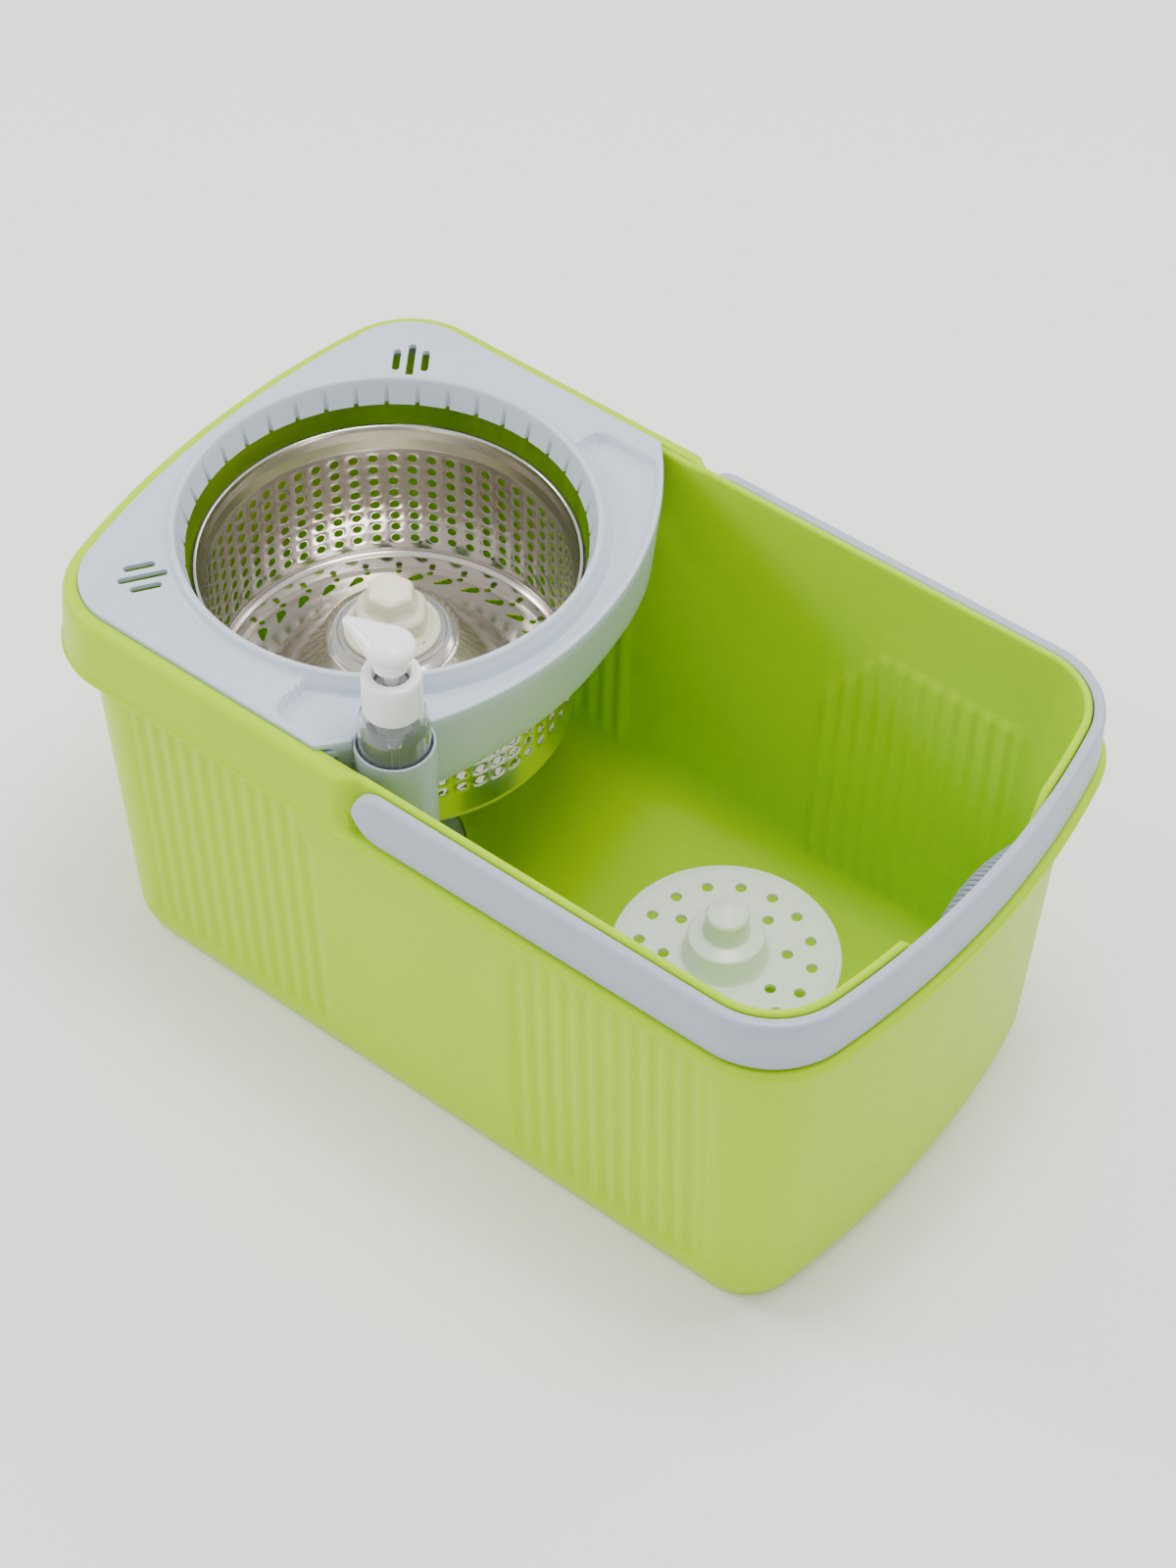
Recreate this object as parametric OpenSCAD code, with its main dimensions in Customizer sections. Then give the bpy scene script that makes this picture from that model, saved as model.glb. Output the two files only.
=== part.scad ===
// Spin mop bucket: a two-zone tub with a spinning basket, a wash disc, a bail handle and a soap pump.
// Frame: X along the tub with the open end at +X, Y across it, Z up, origin under the middle of the tub.

/* [Tub] */
// Length of the tub over the lip of its skirt
tub_l = 487.6; // [440:0.1:590]
// Width of the tub over the lip of its skirt
tub_w = 288; // [262:0.5:350]
// Height of the tub's rim above the floor it stands on
rim_z = 243; // [200:0.5:300]
// How much narrower the base is than the lip, on each of the long sides
base_in_y = 24; // [16:0.5:30]
// How much shorter the base is than the lip, at each end
base_in_x = 26.4; // [18:0.1:34]
// Radius of the bowed ends
bow_r = 480; // [400:5:900]
// Corner radius at the lip
lip_corner_r = 49; // [30:1:60]
// Corner radius of the base
base_corner_r = 28; // [15:1:36]
// Thickness of the tub's walls
wall = 2.6; // [2:0.1:4]
// Thickness of the tub's floor
floor_t = 3; // [2.5:0.1:5]
// Height of the band that bevels the base
bevel_h = 12; // [6:0.5:20]
// How far that band leans outward
bevel_out = 4; // [2:0.5:6]
// Size of the blend between walls and floor inside
floor_blend = 16; // [8:1:24]
// Height of the skirt that hangs from the rim
skirt_h = 37; // [32:0.5:45]
// How far the skirt leans outward from rim to lip
skirt_flare = 3; // [1:0.5:5]
// Height of the lip along the skirt's lower edge
lip_h = 2.6; // [1.5:0.1:4]
// How far the lip stands out
lip_out = 0.8; // [0.4:0.1:1.5]
// Rounding at the top outer edge of the rim
rim_round = 5; // [3:0.5:7]

/* [Fluted panels] */
// Pitch of the flutes on the long sides
flute_pitch = 10.3; // [8:0.1:13]
// Number of flutes in each of the four panels
flute_count = 12; // [6:1:13]
// Distance from the middle of the tub to the first flute's edge
flute_start = 60; // [50:1:75]
// Depth of a flute
flute_depth = 0.9; // [0.5:0.1:1.2]

/* [Bail handle] */
// Height of the band
bail_h = 30.5; // [24:0.5:34]
// Thickness of the band
bail_t = 6; // [4.5:0.1:7]
// X position of the pivot
pivot_x = -6.6; // [-12:0.1:0]
// Diameter of the pivot stubs
stub_d = 10; // [8:0.5:12]
// Gap between the band and the rim wall that it closes round
bail_gap = 0.6; // [0.4:0.1:1.2]
// Length of the ribbed grip
grip_l = 68; // [56:1:76]
// How far the grip bulges in from the band
grip_out = 9.5; // [7:0.5:11]
// Number of ribs on the grip
grip_ribs = 20; // [12:1:24]

/* [Deck] */
// Thickness of the deck's plate
deck_t = 3.5; // [3:0.1:5]
// How far the deck's face stands above the rim
deck_proud = 2.5; // [1.5:0.1:4]
// X position of the axis of the basket
basket_x = -118; // [-122:0.5:-112]
// Radius of the opening at the foot of the collar
collar_r = 99.3; // [97:0.1:104]
// Height of the collar above the deck's face
collar_h = 4.5; // [3:0.1:7]
// Width of the collar at the deck's face
collar_w = 9; // [7:0.5:11]
// How far the collar's funnel hangs below the deck's face
funnel_drop = 10.5; // [8:0.5:14]
// Number of notches round the funnel
notch_count = 24; // [12:1:36]
// Radius of the deck's front edge
front_r = 189.8; // [175:0.1:205]
// X position of the foremost point of the front edge
front_x = 3.6; // [-2:0.1:6]
// Depth of the apron along the front edge
apron_h = 50; // [35:1:60]
// Depth of the recess in the deck's two front corners
recess_h = 5.5; // [3:0.5:7]
// Length of the longest drain slot
slot_l = 25; // [18:1:28]
// Width of a drain slot
slot_w = 4; // [3:0.5:5]

/* [Basket] */
// Radius over the rolled rim
basket_rim_r = 98; // [92:0.5:98.4]
// Radius of the perforated wall
basket_r = 92.5; // [84:0.5:93]
// Height of the top of the rolled rim
basket_top_z = 225; // [215:0.5:232]
// Height of the basket's floor at its edge
basket_floor_z = 128; // [115:0.5:140]
// Thickness of the basket's sheet steel
sheet = 0.8; // [0.6:0.1:1.2]
// Number of columns of holes
hole_cols = 57; // [40:1:60]
// Number of rows of holes
hole_rows = 8; // [5:1:9]
// Vertical pitch of the rows
hole_pitch = 8.1; // [7:0.1:9]
// Diameter of a hole
hole_d = 5.4; // [4:0.1:6]
// Height of the raised middle of the floor above the floor's edge
dome_h = 44; // [30:1:48]
// Radius of the raised middle's flat top
dome_top_r = 30; // [28:0.5:34]
// Radius of the steel ring under the drive hub
ring_r = 28; // [26:0.5:29.5]
// Height of the drive hub above its flange
hub_h = 28.5; // [24:0.5:34]
// Diameter of the basket's spindle
spindle_d = 10; // [8:0.5:12]

/* [Wash disc] */
// X position of the wash disc's axis
disc_x = 96; // [85:0.5:105]
// Radius of the disc
disc_r = 58.6; // [50:0.1:64]
// Height of the disc's upper face
disc_z = 77; // [60:0.5:90]
// Thickness of the disc
disc_t = 2.6; // [2:0.1:4]
// Diameter of the holes in the disc
disc_hole_d = 6; // [4:0.5:8]
// Radius of the hub's foot
disc_hub_r = 22; // [20:0.5:25]
// Height of the hub's peak above the disc
disc_hub_h = 37; // [33:0.5:44]
// Diameter of the pin that the disc turns on
pin_d = 8; // [6:0.5:9]

/* [Soap pump] */
// X position of the bottle's axis
bottle_x = -24.5; // [-27:0.1:-22]
// Distance from the tub's middle to the bottle's axis
bottle_y = 105; // [102:0.1:106]
// Diameter of the bottle
bottle_d = 34.4; // [31:0.1:37]
// Height of the bottle's body up to its shoulder
bottle_h = 76; // [60:1:90]
// Wall thickness of the holder cup
cup_t = 1.4; // [1.2:0.1:2]
// Height of the holder cup
cup_h = 66; // [50:1:80]
// Diameter of the closure
closure_d = 28.6; // [28:0.1:33]
// Height of the closure
closure_h = 23; // [21:0.5:27]
// Stroke of the pump head
stroke = 10; // [6:0.5:11]
// Distance from the pump's axis to the tip of its spout
spout_l = 28; // [24:0.5:36]

/* [Hidden] */
$fn = 96;

eps = 0.01;          // thickness of the slabs that a hull joins
run = 0.05;          // radial clearance of a running fit
fit = 0.3;           // clearance between faces that slide past each other
big = 1000;          // reach of a cut that passes right through

skirt_z = rim_z - skirt_h;                 // height of the skirt's lower edge
skirt_l = tub_l - 2 * lip_out;             // the skirt at its lower edge, inside the lip
skirt_w = tub_w - 2 * lip_out;
top_l = skirt_l - 2 * skirt_flare;         // the skirt at the rim
top_w = skirt_w - 2 * skirt_flare;
bead_in = bail_t + bail_gap;               // from the band's outer face in to the rim wall
bead_l = top_l - 2 * bead_in;              // outside of the rim wall that the bail closes round
bead_w = top_w - 2 * bead_in;
bead_r = lip_corner_r - skirt_flare - bead_in;
bead_t = 4;                                // thickness of that rim wall
stub_in = 3;                               // depth of the blind bores for the bail's stubs
base_l = tub_l - 2 * base_in_x;
base_w = tub_w - 2 * base_in_y;
ledge_z = rim_z - bail_h - 2;              // the ledge that the bail rests over
ledge_t = 2.4;                             // thickness of the ledge and of the shoulders
pivot_z = ledge_z + 0.8 + bail_h / 2;
shoulder_r = bail_h / 2 + 3.2;             // round of the shoulder behind the bail's end

deck_z = rim_z + deck_proud;               // face of the deck
seat_z = deck_z - deck_t;                  // where the deck rests in the rim
deck_in = 1.4;                             // the deck's edge, in from the rim wall's outside
recess_z = deck_z - recess_h;              // floor of the deck's corner recesses
collar_top = deck_z + collar_h;
opening_top_r = collar_r + 4;              // the funnel widens to this at the collar's top
front_cx = front_x - front_r;              // centre of the front edge's arc

dome_r = basket_r - 30;                    // foot of the raised middle of the basket's floor
ledge_r = basket_r - 3.5;                  // the floor's own wall, inside the basket's wall
dome_z = basket_floor_z + dome_h;          // underside of the floor's flat top
flange_z = dome_z + sheet + 1;             // top of the steel ring, where the hub stands
hub_r = ring_r - 3;                        // flange of the drive hub
ball_r = 3;
spindle_top = flange_z + 1.7 - 2 * ball_r; // the ball fills the rest up to the hub's pocket
post_top = basket_floor_z + 12;            // top of the support post
bush_z = post_top + 6;                     // lower face of the socket's bush
screw_r = 20;                              // circle of the hub's screws

disc_boss_z = disc_z - 9;                  // top of the floor cone under the disc
bush_t = 2;
disc_core_r = 11.2;                        // small cylinder on top of the disc's hub
peak_z = disc_z + disc_hub_h;

cup_in_r = bottle_d / 2 + 0.8;
cup_r = cup_in_r + cup_t;
cup_top = recess_z + 3;
cup_z = cup_top - cup_h;
bottle_z = cup_z + 2;                      // underside of the bottle, on the cup's floor
neck_r = 12.4;
shoulder_z = bottle_z + bottle_h;          // where the bottle starts to round in
neck_z = shoulder_z + 11;                  // foot of the neck
neck_h = 12;
neck_top = neck_z + neck_h;
gasket_t = 1;
closure_z = neck_top + gasket_t + 3.2 - closure_h + 7;
closure_top = closure_z + closure_h;
flange_seat = neck_top + gasket_t;         // underside of the chamber's flange
chamber_r = 8.6;
chamber_z = flange_seat - 26;              // floor of the pump chamber
stem_r = 3.6;
head_z = closure_top + stroke + 1;         // underside of the pump head at rest

// ---- shared outlines ----

function arc(cx, cy, r, a0, a1, n) =
    [for (i = [0:n]) let (a = a0 + (a1 - a0) * i / n) [cx + r * cos(a), cy + r * sin(a)]];

// Rectangle l by w with bowed ends of radius b and corners of radius r
function bowed(l, w, r, b) =
    let (cy = w / 2 - r, bx = l / 2 - b, cx = bx + sqrt((b - r) * (b - r) - cy * cy),
         phi = atan2(cy, cx - bx),
         end = concat(arc(cx, -cy, r, -90, -phi, 8), arc(bx, 0, b, -phi + 1, phi - 1, 8),
                      arc(cx, cy, r, phi, 90, 8)))
    concat(end, [for (p = end) [-p[0], -p[1]]]);

module slab(l, w, r, inset, z) {
    translate([0, 0, z]) linear_extrude(eps)
        polygon(bowed(l - 2 * inset, w - 2 * inset, r - inset, bow_r - inset));
}

module ring_plate(l, w, r, inset, z, h) {
    translate([0, 0, z]) linear_extrude(h)
        polygon(bowed(l - 2 * inset, w - 2 * inset, r - inset, bow_r - inset));
}

module at_basket() {
    translate([basket_x, 0, 0]) children();
}

module at_disc() {
    translate([disc_x, 0, 0]) children();
}

module at_bottle() {
    translate([bottle_x, -bottle_y, 0]) children();
}

// Countersunk screw with a cross recess, its head's face at z = 0, pointing down
module screw(d, l) {
    difference() {
        union() {
            translate([0, 0, -d * 0.55]) cylinder(h = d * 0.55, r1 = d / 2, r2 = d * 0.95);
            translate([0, 0, -l]) cylinder(h = l, d = d);
        }
        for (a = [0, 90]) rotate(a) translate([-d * 0.55, -d * 0.11, -d * 0.3]) cube([d * 1.1, d * 0.22, d]);
    }
}

// ---- tub ----

// Outline of the body at the top, just inside the rim wall's outside
body_top_in = 1.5;

module body_block(top) {
    hull() {
        slab(base_l, base_w, base_corner_r, 0, 0);
        slab(base_l, base_w, base_corner_r, -bevel_out, bevel_h);
        slab(bead_l, bead_w, bead_r, body_top_in, top);
    }
}

module cavity() {
    hull() {
        slab(base_l, base_w, base_corner_r + bevel_out, floor_blend, floor_t);
        slab(base_l, base_w, base_corner_r, wall - bevel_out - 1, floor_t + floor_blend);
        slab(bead_l, bead_w, bead_r, bead_t, rim_z + 1);
    }
}

module skirt_block() {
    hull() {
        slab(skirt_l, skirt_w, lip_corner_r - lip_out, 0, skirt_z);
        slab(top_l, top_w, lip_corner_r - skirt_flare, 0, rim_z - rim_round);
        slab(top_l, top_w, lip_corner_r - skirt_flare, rim_round * 0.3, rim_z - rim_round * 0.3);
        slab(top_l, top_w, lip_corner_r - skirt_flare, rim_round, rim_z - eps);
    }
}

// Space under the skirt: full height behind the shoulders, shallow under the bail's ledge
module skirt_space() {
    difference() {
        hull() {
            slab(skirt_l, skirt_w, lip_corner_r - lip_out, wall, skirt_z - 1);
            slab(top_l, top_w, lip_corner_r - skirt_flare, wall + 0.6, rim_z - rim_round - wall);
        }
        body_block(rim_z);
        translate([pivot_x - shoulder_r - ledge_t, -big / 2, ledge_z - ledge_t]) cube([big, big, big]);
    }
}

// Where the bail lies and swings, outside the rim wall
module bail_channel() {
    difference() {
        rotate([90, 0, 0]) linear_extrude(big, center = true) {
            translate([pivot_x, ledge_z + shoulder_r]) circle(shoulder_r);
            translate([pivot_x - shoulder_r, ledge_z + shoulder_r]) square([big, big]);
            translate([pivot_x, ledge_z]) square([big, big]);
        }
        ring_plate(bead_l, bead_w, bead_r, 0, -1, big);
    }
}

// Dip in the rim wall that lets fingers reach the grip
module finger_dip() {
    dip = grip_l / 2 + 9;
    slope = 19;
    translate([bead_l / 2 - 30, 0, 0]) rotate([90, 0, 90]) linear_extrude(60) polygon([
        [-dip - slope, rim_z + 1], [-dip, ledge_z + 1], [dip, ledge_z + 1], [dip + slope, rim_z + 1]]);
}

// One fluted panel on the +X, +Y side
module flutes() {
    wall_y0 = base_w / 2 + bevel_out;
    lean = atan2(bead_w / 2 - body_top_in - wall_y0, skirt_z - bevel_h);
    groove_r = (flute_pitch * flute_pitch / 4 + flute_depth * flute_depth) / (2 * flute_depth) * 0.9;
    for (i = [0:flute_count - 1]) {
        x = flute_start + (i + 0.5) * flute_pitch;
        top = min(skirt_z - 12, skirt_z - 60 + (x - flute_start) * 1.6);
        translate([x, wall_y0, bevel_h]) rotate([-lean, 0, 0])
            translate([0, groove_r - flute_depth, 3]) cylinder(h = top - bevel_h, r = groove_r, $fn = 48);
    }
}

module tub() {
    color("#c0e000") {
        difference() {
            union() {
                body_block(rim_z - rim_round);
                skirt_block();
                ring_plate(tub_l, tub_w, lip_corner_r, 0, skirt_z, lip_h);
            }
            cavity();
            skirt_space();
            bail_channel();
            finger_dip();
            // rebate for the deck's edge
            intersection() {
                ring_plate(bead_l, bead_w, bead_r, deck_in - 0.5, seat_z, big);
                translate([front_cx, 0, 0]) cylinder(h = big, r = front_r + 1.5);
            }
            // blind bores for the bail's stubs
            for (s = [-1, 1]) translate([pivot_x, s * (bead_w / 2 - stub_in), pivot_z])
                rotate([-s * 90, 0, 0]) cylinder(h = big, d = stub_d + 2 * run);
            for (mx = [0, 1], my = [0, 1]) mirror([mx, 0, 0]) mirror([0, my, 0]) flutes();
            // hollow of the cone under the wash disc
            at_disc() translate([0, 0, -1]) cylinder(h = disc_boss_z - 17, r1 = 21, r2 = 10);
        }
        floor_cone();
        post_boss();
    }
}

// Cone raised from the floor, which carries the wash disc's pin
module floor_cone() {
    at_disc() difference() {
        translate([0, 0, floor_t - 0.5]) cylinder(h = disc_boss_z - floor_t + 0.5, r1 = 24, r2 = 12.5);
        translate([0, 0, -1]) cylinder(h = disc_boss_z - 17, r1 = 21, r2 = 10);
        translate([0, 0, disc_boss_z - 14]) cylinder(h = 20, d = pin_d);
    }
}

post_foot_r = 34;
post_screw_r = 27;

// Raised ring and four bosses that place and fasten the support post
module post_boss() {
    at_basket() difference() {
        union() {
            translate([0, 0, floor_t - 0.5]) difference() {
                cylinder(h = 7.5, r = post_foot_r + fit + 2.5);
                translate([0, 0, -1]) cylinder(h = 10, r = post_foot_r + fit);
            }
            translate([0, 0, floor_t - 0.5]) cylinder(h = 2.5, r = post_foot_r + 1);
        }
        for (a = [45:90:359]) rotate(a) translate([post_screw_r, 0, floor_t]) cylinder(h = 10, d = 3.2);
    }
}

// ---- bail handle ----

module bail_band(in0, in1) {
    intersection() {
        difference() {
            ring_plate(bead_l, bead_w, bead_r, in1, pivot_z - bail_h / 2, bail_h);
            ring_plate(bead_l, bead_w, bead_r, in0, 0, big);
        }
        rotate([90, 0, 0]) linear_extrude(big, center = true) {
            translate([pivot_x, pivot_z]) circle(d = bail_h);
            translate([pivot_x, 0]) square([big, big]);
        }
    }
}

module bail_handle() {
    stub_end = bead_w / 2 - stub_in + 0.1;
    color("#b6bcc6") {
        bail_band(-bail_gap, -bead_in);
        for (s = [-1, 1]) translate([pivot_x, s * (bead_w / 2 + bail_gap + 0.5), pivot_z])
            rotate([s * 90, 0, 0]) cylinder(h = bead_w / 2 + bail_gap + 0.5 - stub_end, d = stub_d);
    }
}

// Barrel with ribs, cut to the inside of the band
module handle_grip() {
    pitch = grip_l / grip_ribs;
    barrel_r = 13;
    axis_x = bead_l / 2 + bail_gap - grip_out + barrel_r;
    end_r = 8.6;
    function barrel(y) = end_r + (barrel_r - end_r) * cos(y / (grip_l / 2) * 90);
    color("#a9b0bb") intersection() {
        translate([axis_x, 0, pivot_z]) rotate([90, 0, 0]) rotate_extrude() polygon(concat(
            [[0, -grip_l / 2]],
            [for (i = [0:grip_ribs - 1]) let (y = -grip_l / 2 + i * pitch)
                each [[barrel(y) - 1.1, y], [barrel(y + pitch / 2), y + pitch * 0.3],
                      [barrel(y + pitch / 2), y + pitch * 0.75]]],
            [[end_r - 1.1, grip_l / 2], [0, grip_l / 2]]));
        ring_plate(bead_l, bead_w, bead_r, -bail_gap + 0.02, 0, big);
    }
}

// ---- deck ----

module deck_outline(inset) {
    intersection() {
        polygon(bowed(bead_l - 2 * (deck_in + inset), bead_w - 2 * (deck_in + inset),
            bead_r - deck_in - inset, bow_r));
        translate([front_cx, 0]) circle(front_r - inset);
    }
}

// Sunken band that runs from corner to corner in front of the collar
module recess_outline(inset) {
    side = bead_w / 2 - deck_in - 9 - inset;
    left = basket_x + 37 + inset;
    intersection() {
        difference() {
            union() {
                for (s = [-1, 1]) translate([left + 8, s * (side - 8)]) circle(8);
                translate([left, -side + 8]) square([200, 2 * side - 16]);
                translate([left + 8, -side]) square([200, 2 * side]);
            }
            translate([basket_x, 0]) circle(collar_r + collar_w + 0.5 + inset);
        }
        translate([front_cx, 0]) circle(front_r - 2.2 - inset);
    }
}

module drain_slots() {
    for (s = [-1, 1]) at_basket() rotate(s * 124.5) translate([122, 0, deck_z - deck_t - 1])
        for (i = [-1:1]) {
            l = i == 0 ? slot_l : slot_l * 0.64;
            for (e = [-1, 1]) translate([e * (l - slot_w) / 2, i * 7.4, 0]) cylinder(h = 20, d = slot_w);
            translate([-(l - slot_w) / 2, i * 7.4 - slot_w / 2, 0]) cube([l - slot_w, slot_w, 20]);
        }
}

module deck() {
    lip_l = 14;
    color("#c3cdd6") difference() {
        union() {
            translate([0, 0, seat_z]) linear_extrude(deck_t) deck_outline(0);
            // tray under the recess
            translate([0, 0, recess_z - 2.4]) linear_extrude(deck_z - recess_z) intersection() {
                recess_outline(-2.2);
                deck_outline(2);
            }
            // collar and funnel round the basket
            at_basket() rotate_extrude() polygon([
                [collar_r, deck_z - funnel_drop], [collar_r + 2.4, deck_z - funnel_drop],
                [collar_r + 4.4, deck_z - deck_t], [collar_r + collar_w, deck_z],
                [collar_r + collar_w - 1.4, deck_z + collar_h * 0.7],
                [collar_r + collar_w - 3, collar_top], [opening_top_r + 0.6, collar_top],
                [opening_top_r, collar_top - 0.8]]);
            // apron along the front edge
            translate([0, 0, deck_z - apron_h]) linear_extrude(apron_h) intersection() {
                difference() {
                    deck_outline(0);
                    translate([front_cx, 0]) circle(front_r - 2.4);
                }
                translate([-80, -bead_w / 2 + bead_t + 2]) square([200, bead_w - 2 * bead_t - 4]);
            }
            // flange that drops inside the tub
            translate([0, 0, seat_z - lip_l]) linear_extrude(lip_l + 1) difference() {
                deck_outline(bead_t + 1.6 - deck_in);
                deck_outline(bead_t + 3.8 - deck_in);
            }
        }
        at_basket() translate([0, 0, deck_z - 60]) cylinder(h = 100, r = collar_r);
        at_basket() translate([0, 0, deck_z - funnel_drop])
            cylinder(h = funnel_drop + collar_h + eps, r1 = collar_r, r2 = opening_top_r);
        translate([0, 0, recess_z]) linear_extrude(20) recess_outline(0);
        drain_slots();
        // notches round the funnel's foot
        for (i = [0:notch_count - 1]) at_basket() rotate(360 / notch_count * (i + 0.5))
            translate([collar_r - 1, 0, deck_z - funnel_drop - 1]) rotate([90, 0, 0])
                linear_extrude(1.6, center = true) polygon([[0, 0], [2.4, 0], [2.2, 8]]);
        // seat of the bottle's cup
        at_bottle() cylinder(h = big, r = cup_r + 0.1);
    }
}

// Cup that hangs from the deck and holds the bottle
module bottle_cup() {
    color("#aeb9c1") at_bottle() {
        difference() {
            translate([0, 0, cup_z]) cylinder(h = cup_h, r = cup_r);
            translate([0, 0, cup_z + 2]) cylinder(h = cup_h, r = cup_in_r);
            for (a = [0:60:300]) rotate(a) translate([cup_in_r * 0.55, 0, cup_z - 1]) cylinder(h = 5, r = 2.2);
        }
        // hook over the recess floor
        intersection() {
            translate([0, 0, recess_z + 0.02]) difference() {
                cylinder(h = 1.6, r = cup_r + 2.2);
                translate([0, 0, -1]) cylinder(h = 4, r = cup_r - eps);
            }
            translate([-bottle_x, bottle_y, 0]) linear_extrude(big) recess_outline(0.4);
        }
    }
}

// ---- basket ----

wall_z = basket_floor_z + 10.5;            // height of the step inside the basket's wall
row_z = wall_z + 10;                       // lowest row of holes

module basket_shell() {
    color("#c9ccd0") at_basket() difference() {
        union() {
            // rolled rim
            rotate_extrude() translate([basket_rim_r - 2.2, basket_top_z - 2.2]) circle(2.2);
            rotate_extrude() polygon([
                [basket_r - 1.2, basket_floor_z - 1.2], [basket_r - 0.4, basket_floor_z - 1.2],
                [basket_r, basket_floor_z + 2], [basket_r, basket_top_z - 14],
                [basket_rim_r - 3.6, basket_top_z - 8], [basket_rim_r - 1.4, basket_top_z - 2.4],
                [basket_rim_r - 2.4, basket_top_z - 1], [basket_rim_r - 3.6 - sheet, basket_top_z - 7.6],
                [basket_r - sheet, basket_top_z - 13.6], [basket_r - sheet, basket_floor_z + 2],
                [basket_r - 1.2, basket_floor_z]]);
        }
        for (row = [0:hole_rows - 1], col = [0:hole_cols - 1])
            rotate(360 / hole_cols * (col + 0.5)) translate([basket_r - 3, 0, row_z + row * hole_pitch])
                rotate([0, 90, 0]) cylinder(h = 6, d = hole_d, $fn = 24);
    }
}

tear_count = 32;
tear_tilt = 36;                            // how far the drops turn from the ring they lie on

// Pressed floor: a seat ring against the wall, a drained ring and a raised middle
module basket_floor() {
    z0 = basket_floor_z;
    slope_z = z0 + 5;
    edge_r = basket_r - sheet - 0.02;
    color("#c4c7cb") at_basket() difference() {
        rotate_extrude() polygon([
            [12, dome_z], [dome_top_r, dome_z], [dome_r, slope_z], [ledge_r - 2, z0],
            [ledge_r, z0 + 2], [ledge_r, wall_z - 1.5], [edge_r, wall_z],
            [edge_r, wall_z + sheet], [ledge_r - 0.5, wall_z + sheet - 1.2],
            [ledge_r - sheet, wall_z - 2], [ledge_r - sheet, z0 + 2.2], [ledge_r - 2.2, z0 + sheet],
            [dome_r + 0.4, slope_z + sheet], [dome_top_r + 0.4, dome_z + sheet], [12, dome_z + sheet]]);
        for (i = [0:tear_count - 1]) rotate(360 / tear_count * i - 2.4) {
            // drops with their points trailing inward, each with a small round hole beyond
            translate([basket_r - 11.6, 0, z0 - 2]) rotate(tear_tilt) linear_extrude(9) {
                circle(2.65, $fn = 24);
                translate([0, 7]) circle(0.8, $fn = 16);
                polygon([[-2.6, 0.6], [2.6, 0.6], [0.8, 7], [-0.8, 7]]);
            }
            rotate(-3.8) translate([basket_r - 7.1, 0, z0 - 2]) cylinder(h = 8, r = 1.8, $fn = 24);
        }
        for (a = [0:90:359]) rotate(a) translate([screw_r, 0, 0]) cylinder(h = big, d = 4.2);
    }
}

// Cream hub that turns the basket with the mop's socket
module drive_hub() {
    mid_r = 18;
    top_r = 12.5;
    color("#f0efdc") at_basket() difference() {
        union() {
            translate([0, 0, flange_z]) cylinder(h = 2, r = hub_r);
            translate([0, 0, flange_z + 2]) cylinder(h = 4, r1 = hub_r - 1, r2 = mid_r + 1);
            translate([0, 0, flange_z + 5]) cylinder(h = hub_h * 0.36, r = mid_r - 1.6);
            for (a = [0:60:359]) rotate(a) translate([mid_r - 5, 0, flange_z + 5])
                cylinder(h = hub_h * 0.36, r = 5, $fn = 32);
            translate([0, 0, flange_z + 5 + hub_h * 0.36]) cylinder(h = 4, r1 = mid_r - 1, r2 = top_r);
            for (a = [0:60:359]) rotate(a) translate([top_r - 3.6, 0, flange_z + 8])
                cylinder(h = hub_h - 8, r1 = 5, r2 = 3.6, $fn = 32);
            translate([0, 0, flange_z + 8]) cylinder(h = hub_h - 8, r = top_r - 2.4);
        }
        translate([0, 0, flange_z - 1]) cylinder(h = 2.7, r = ball_r + 0.3);
        for (a = [0:90:359]) rotate(a) translate([screw_r, 0, flange_z - 1]) cylinder(h = 5, d = 3.4);
    }
}

// Steel ring between the hub and the floor
module hub_ring() {
    color("#b9bcc2") at_basket() translate([0, 0, dome_z + sheet]) difference() {
        cylinder(h = 1, r = ring_r);
        translate([0, 0, -1]) cylinder(h = 3, r = 14);
        for (a = [0:90:359]) rotate(a) translate([screw_r, 0, -1]) cylinder(h = 3, d = 4.2);
    }
}

module hub_screws() {
    color("#9aa0a6") at_basket() for (a = [0:90:359]) rotate(a)
        translate([screw_r, 0, dome_z - 6]) mirror([0, 0, 1]) screw(3.4, 11);
}

// Socket under the floor that rides on the spindle
module hub_socket() {
    color("#e6e5d2") at_basket() difference() {
        union() {
            translate([0, 0, dome_z - 6]) cylinder(h = 6, r = dome_top_r - 4);
            translate([0, 0, bush_z]) cylinder(h = dome_z - bush_z, r = 13);
        }
        translate([0, 0, bush_z - 1]) cylinder(h = 100, r = spindle_d / 2 + 3);
        for (a = [0:90:359]) rotate(a) translate([screw_r, 0, dome_z - 7]) {
            cylinder(h = 10, d = 3.8);
            cylinder(h = 2.87, r1 = 4.1, r2 = 1.76);
        }
    }
}

module socket_bush() {
    color("#d9a441") at_basket() difference() {
        union() {
            translate([0, 0, bush_z]) cylinder(h = dome_z - bush_z - 2, r = spindle_d / 2 + 3 - 0.02);
            translate([0, 0, bush_z - 1.5]) cylinder(h = 1.5, r = spindle_d / 2 + 5);
        }
        translate([0, 0, bush_z - 5]) cylinder(h = 100, r = spindle_d / 2 + run);
    }
}

module thrust_ball() {
    color("silver") at_basket() translate([0, 0, spindle_top + ball_r]) sphere(ball_r);
}

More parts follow.
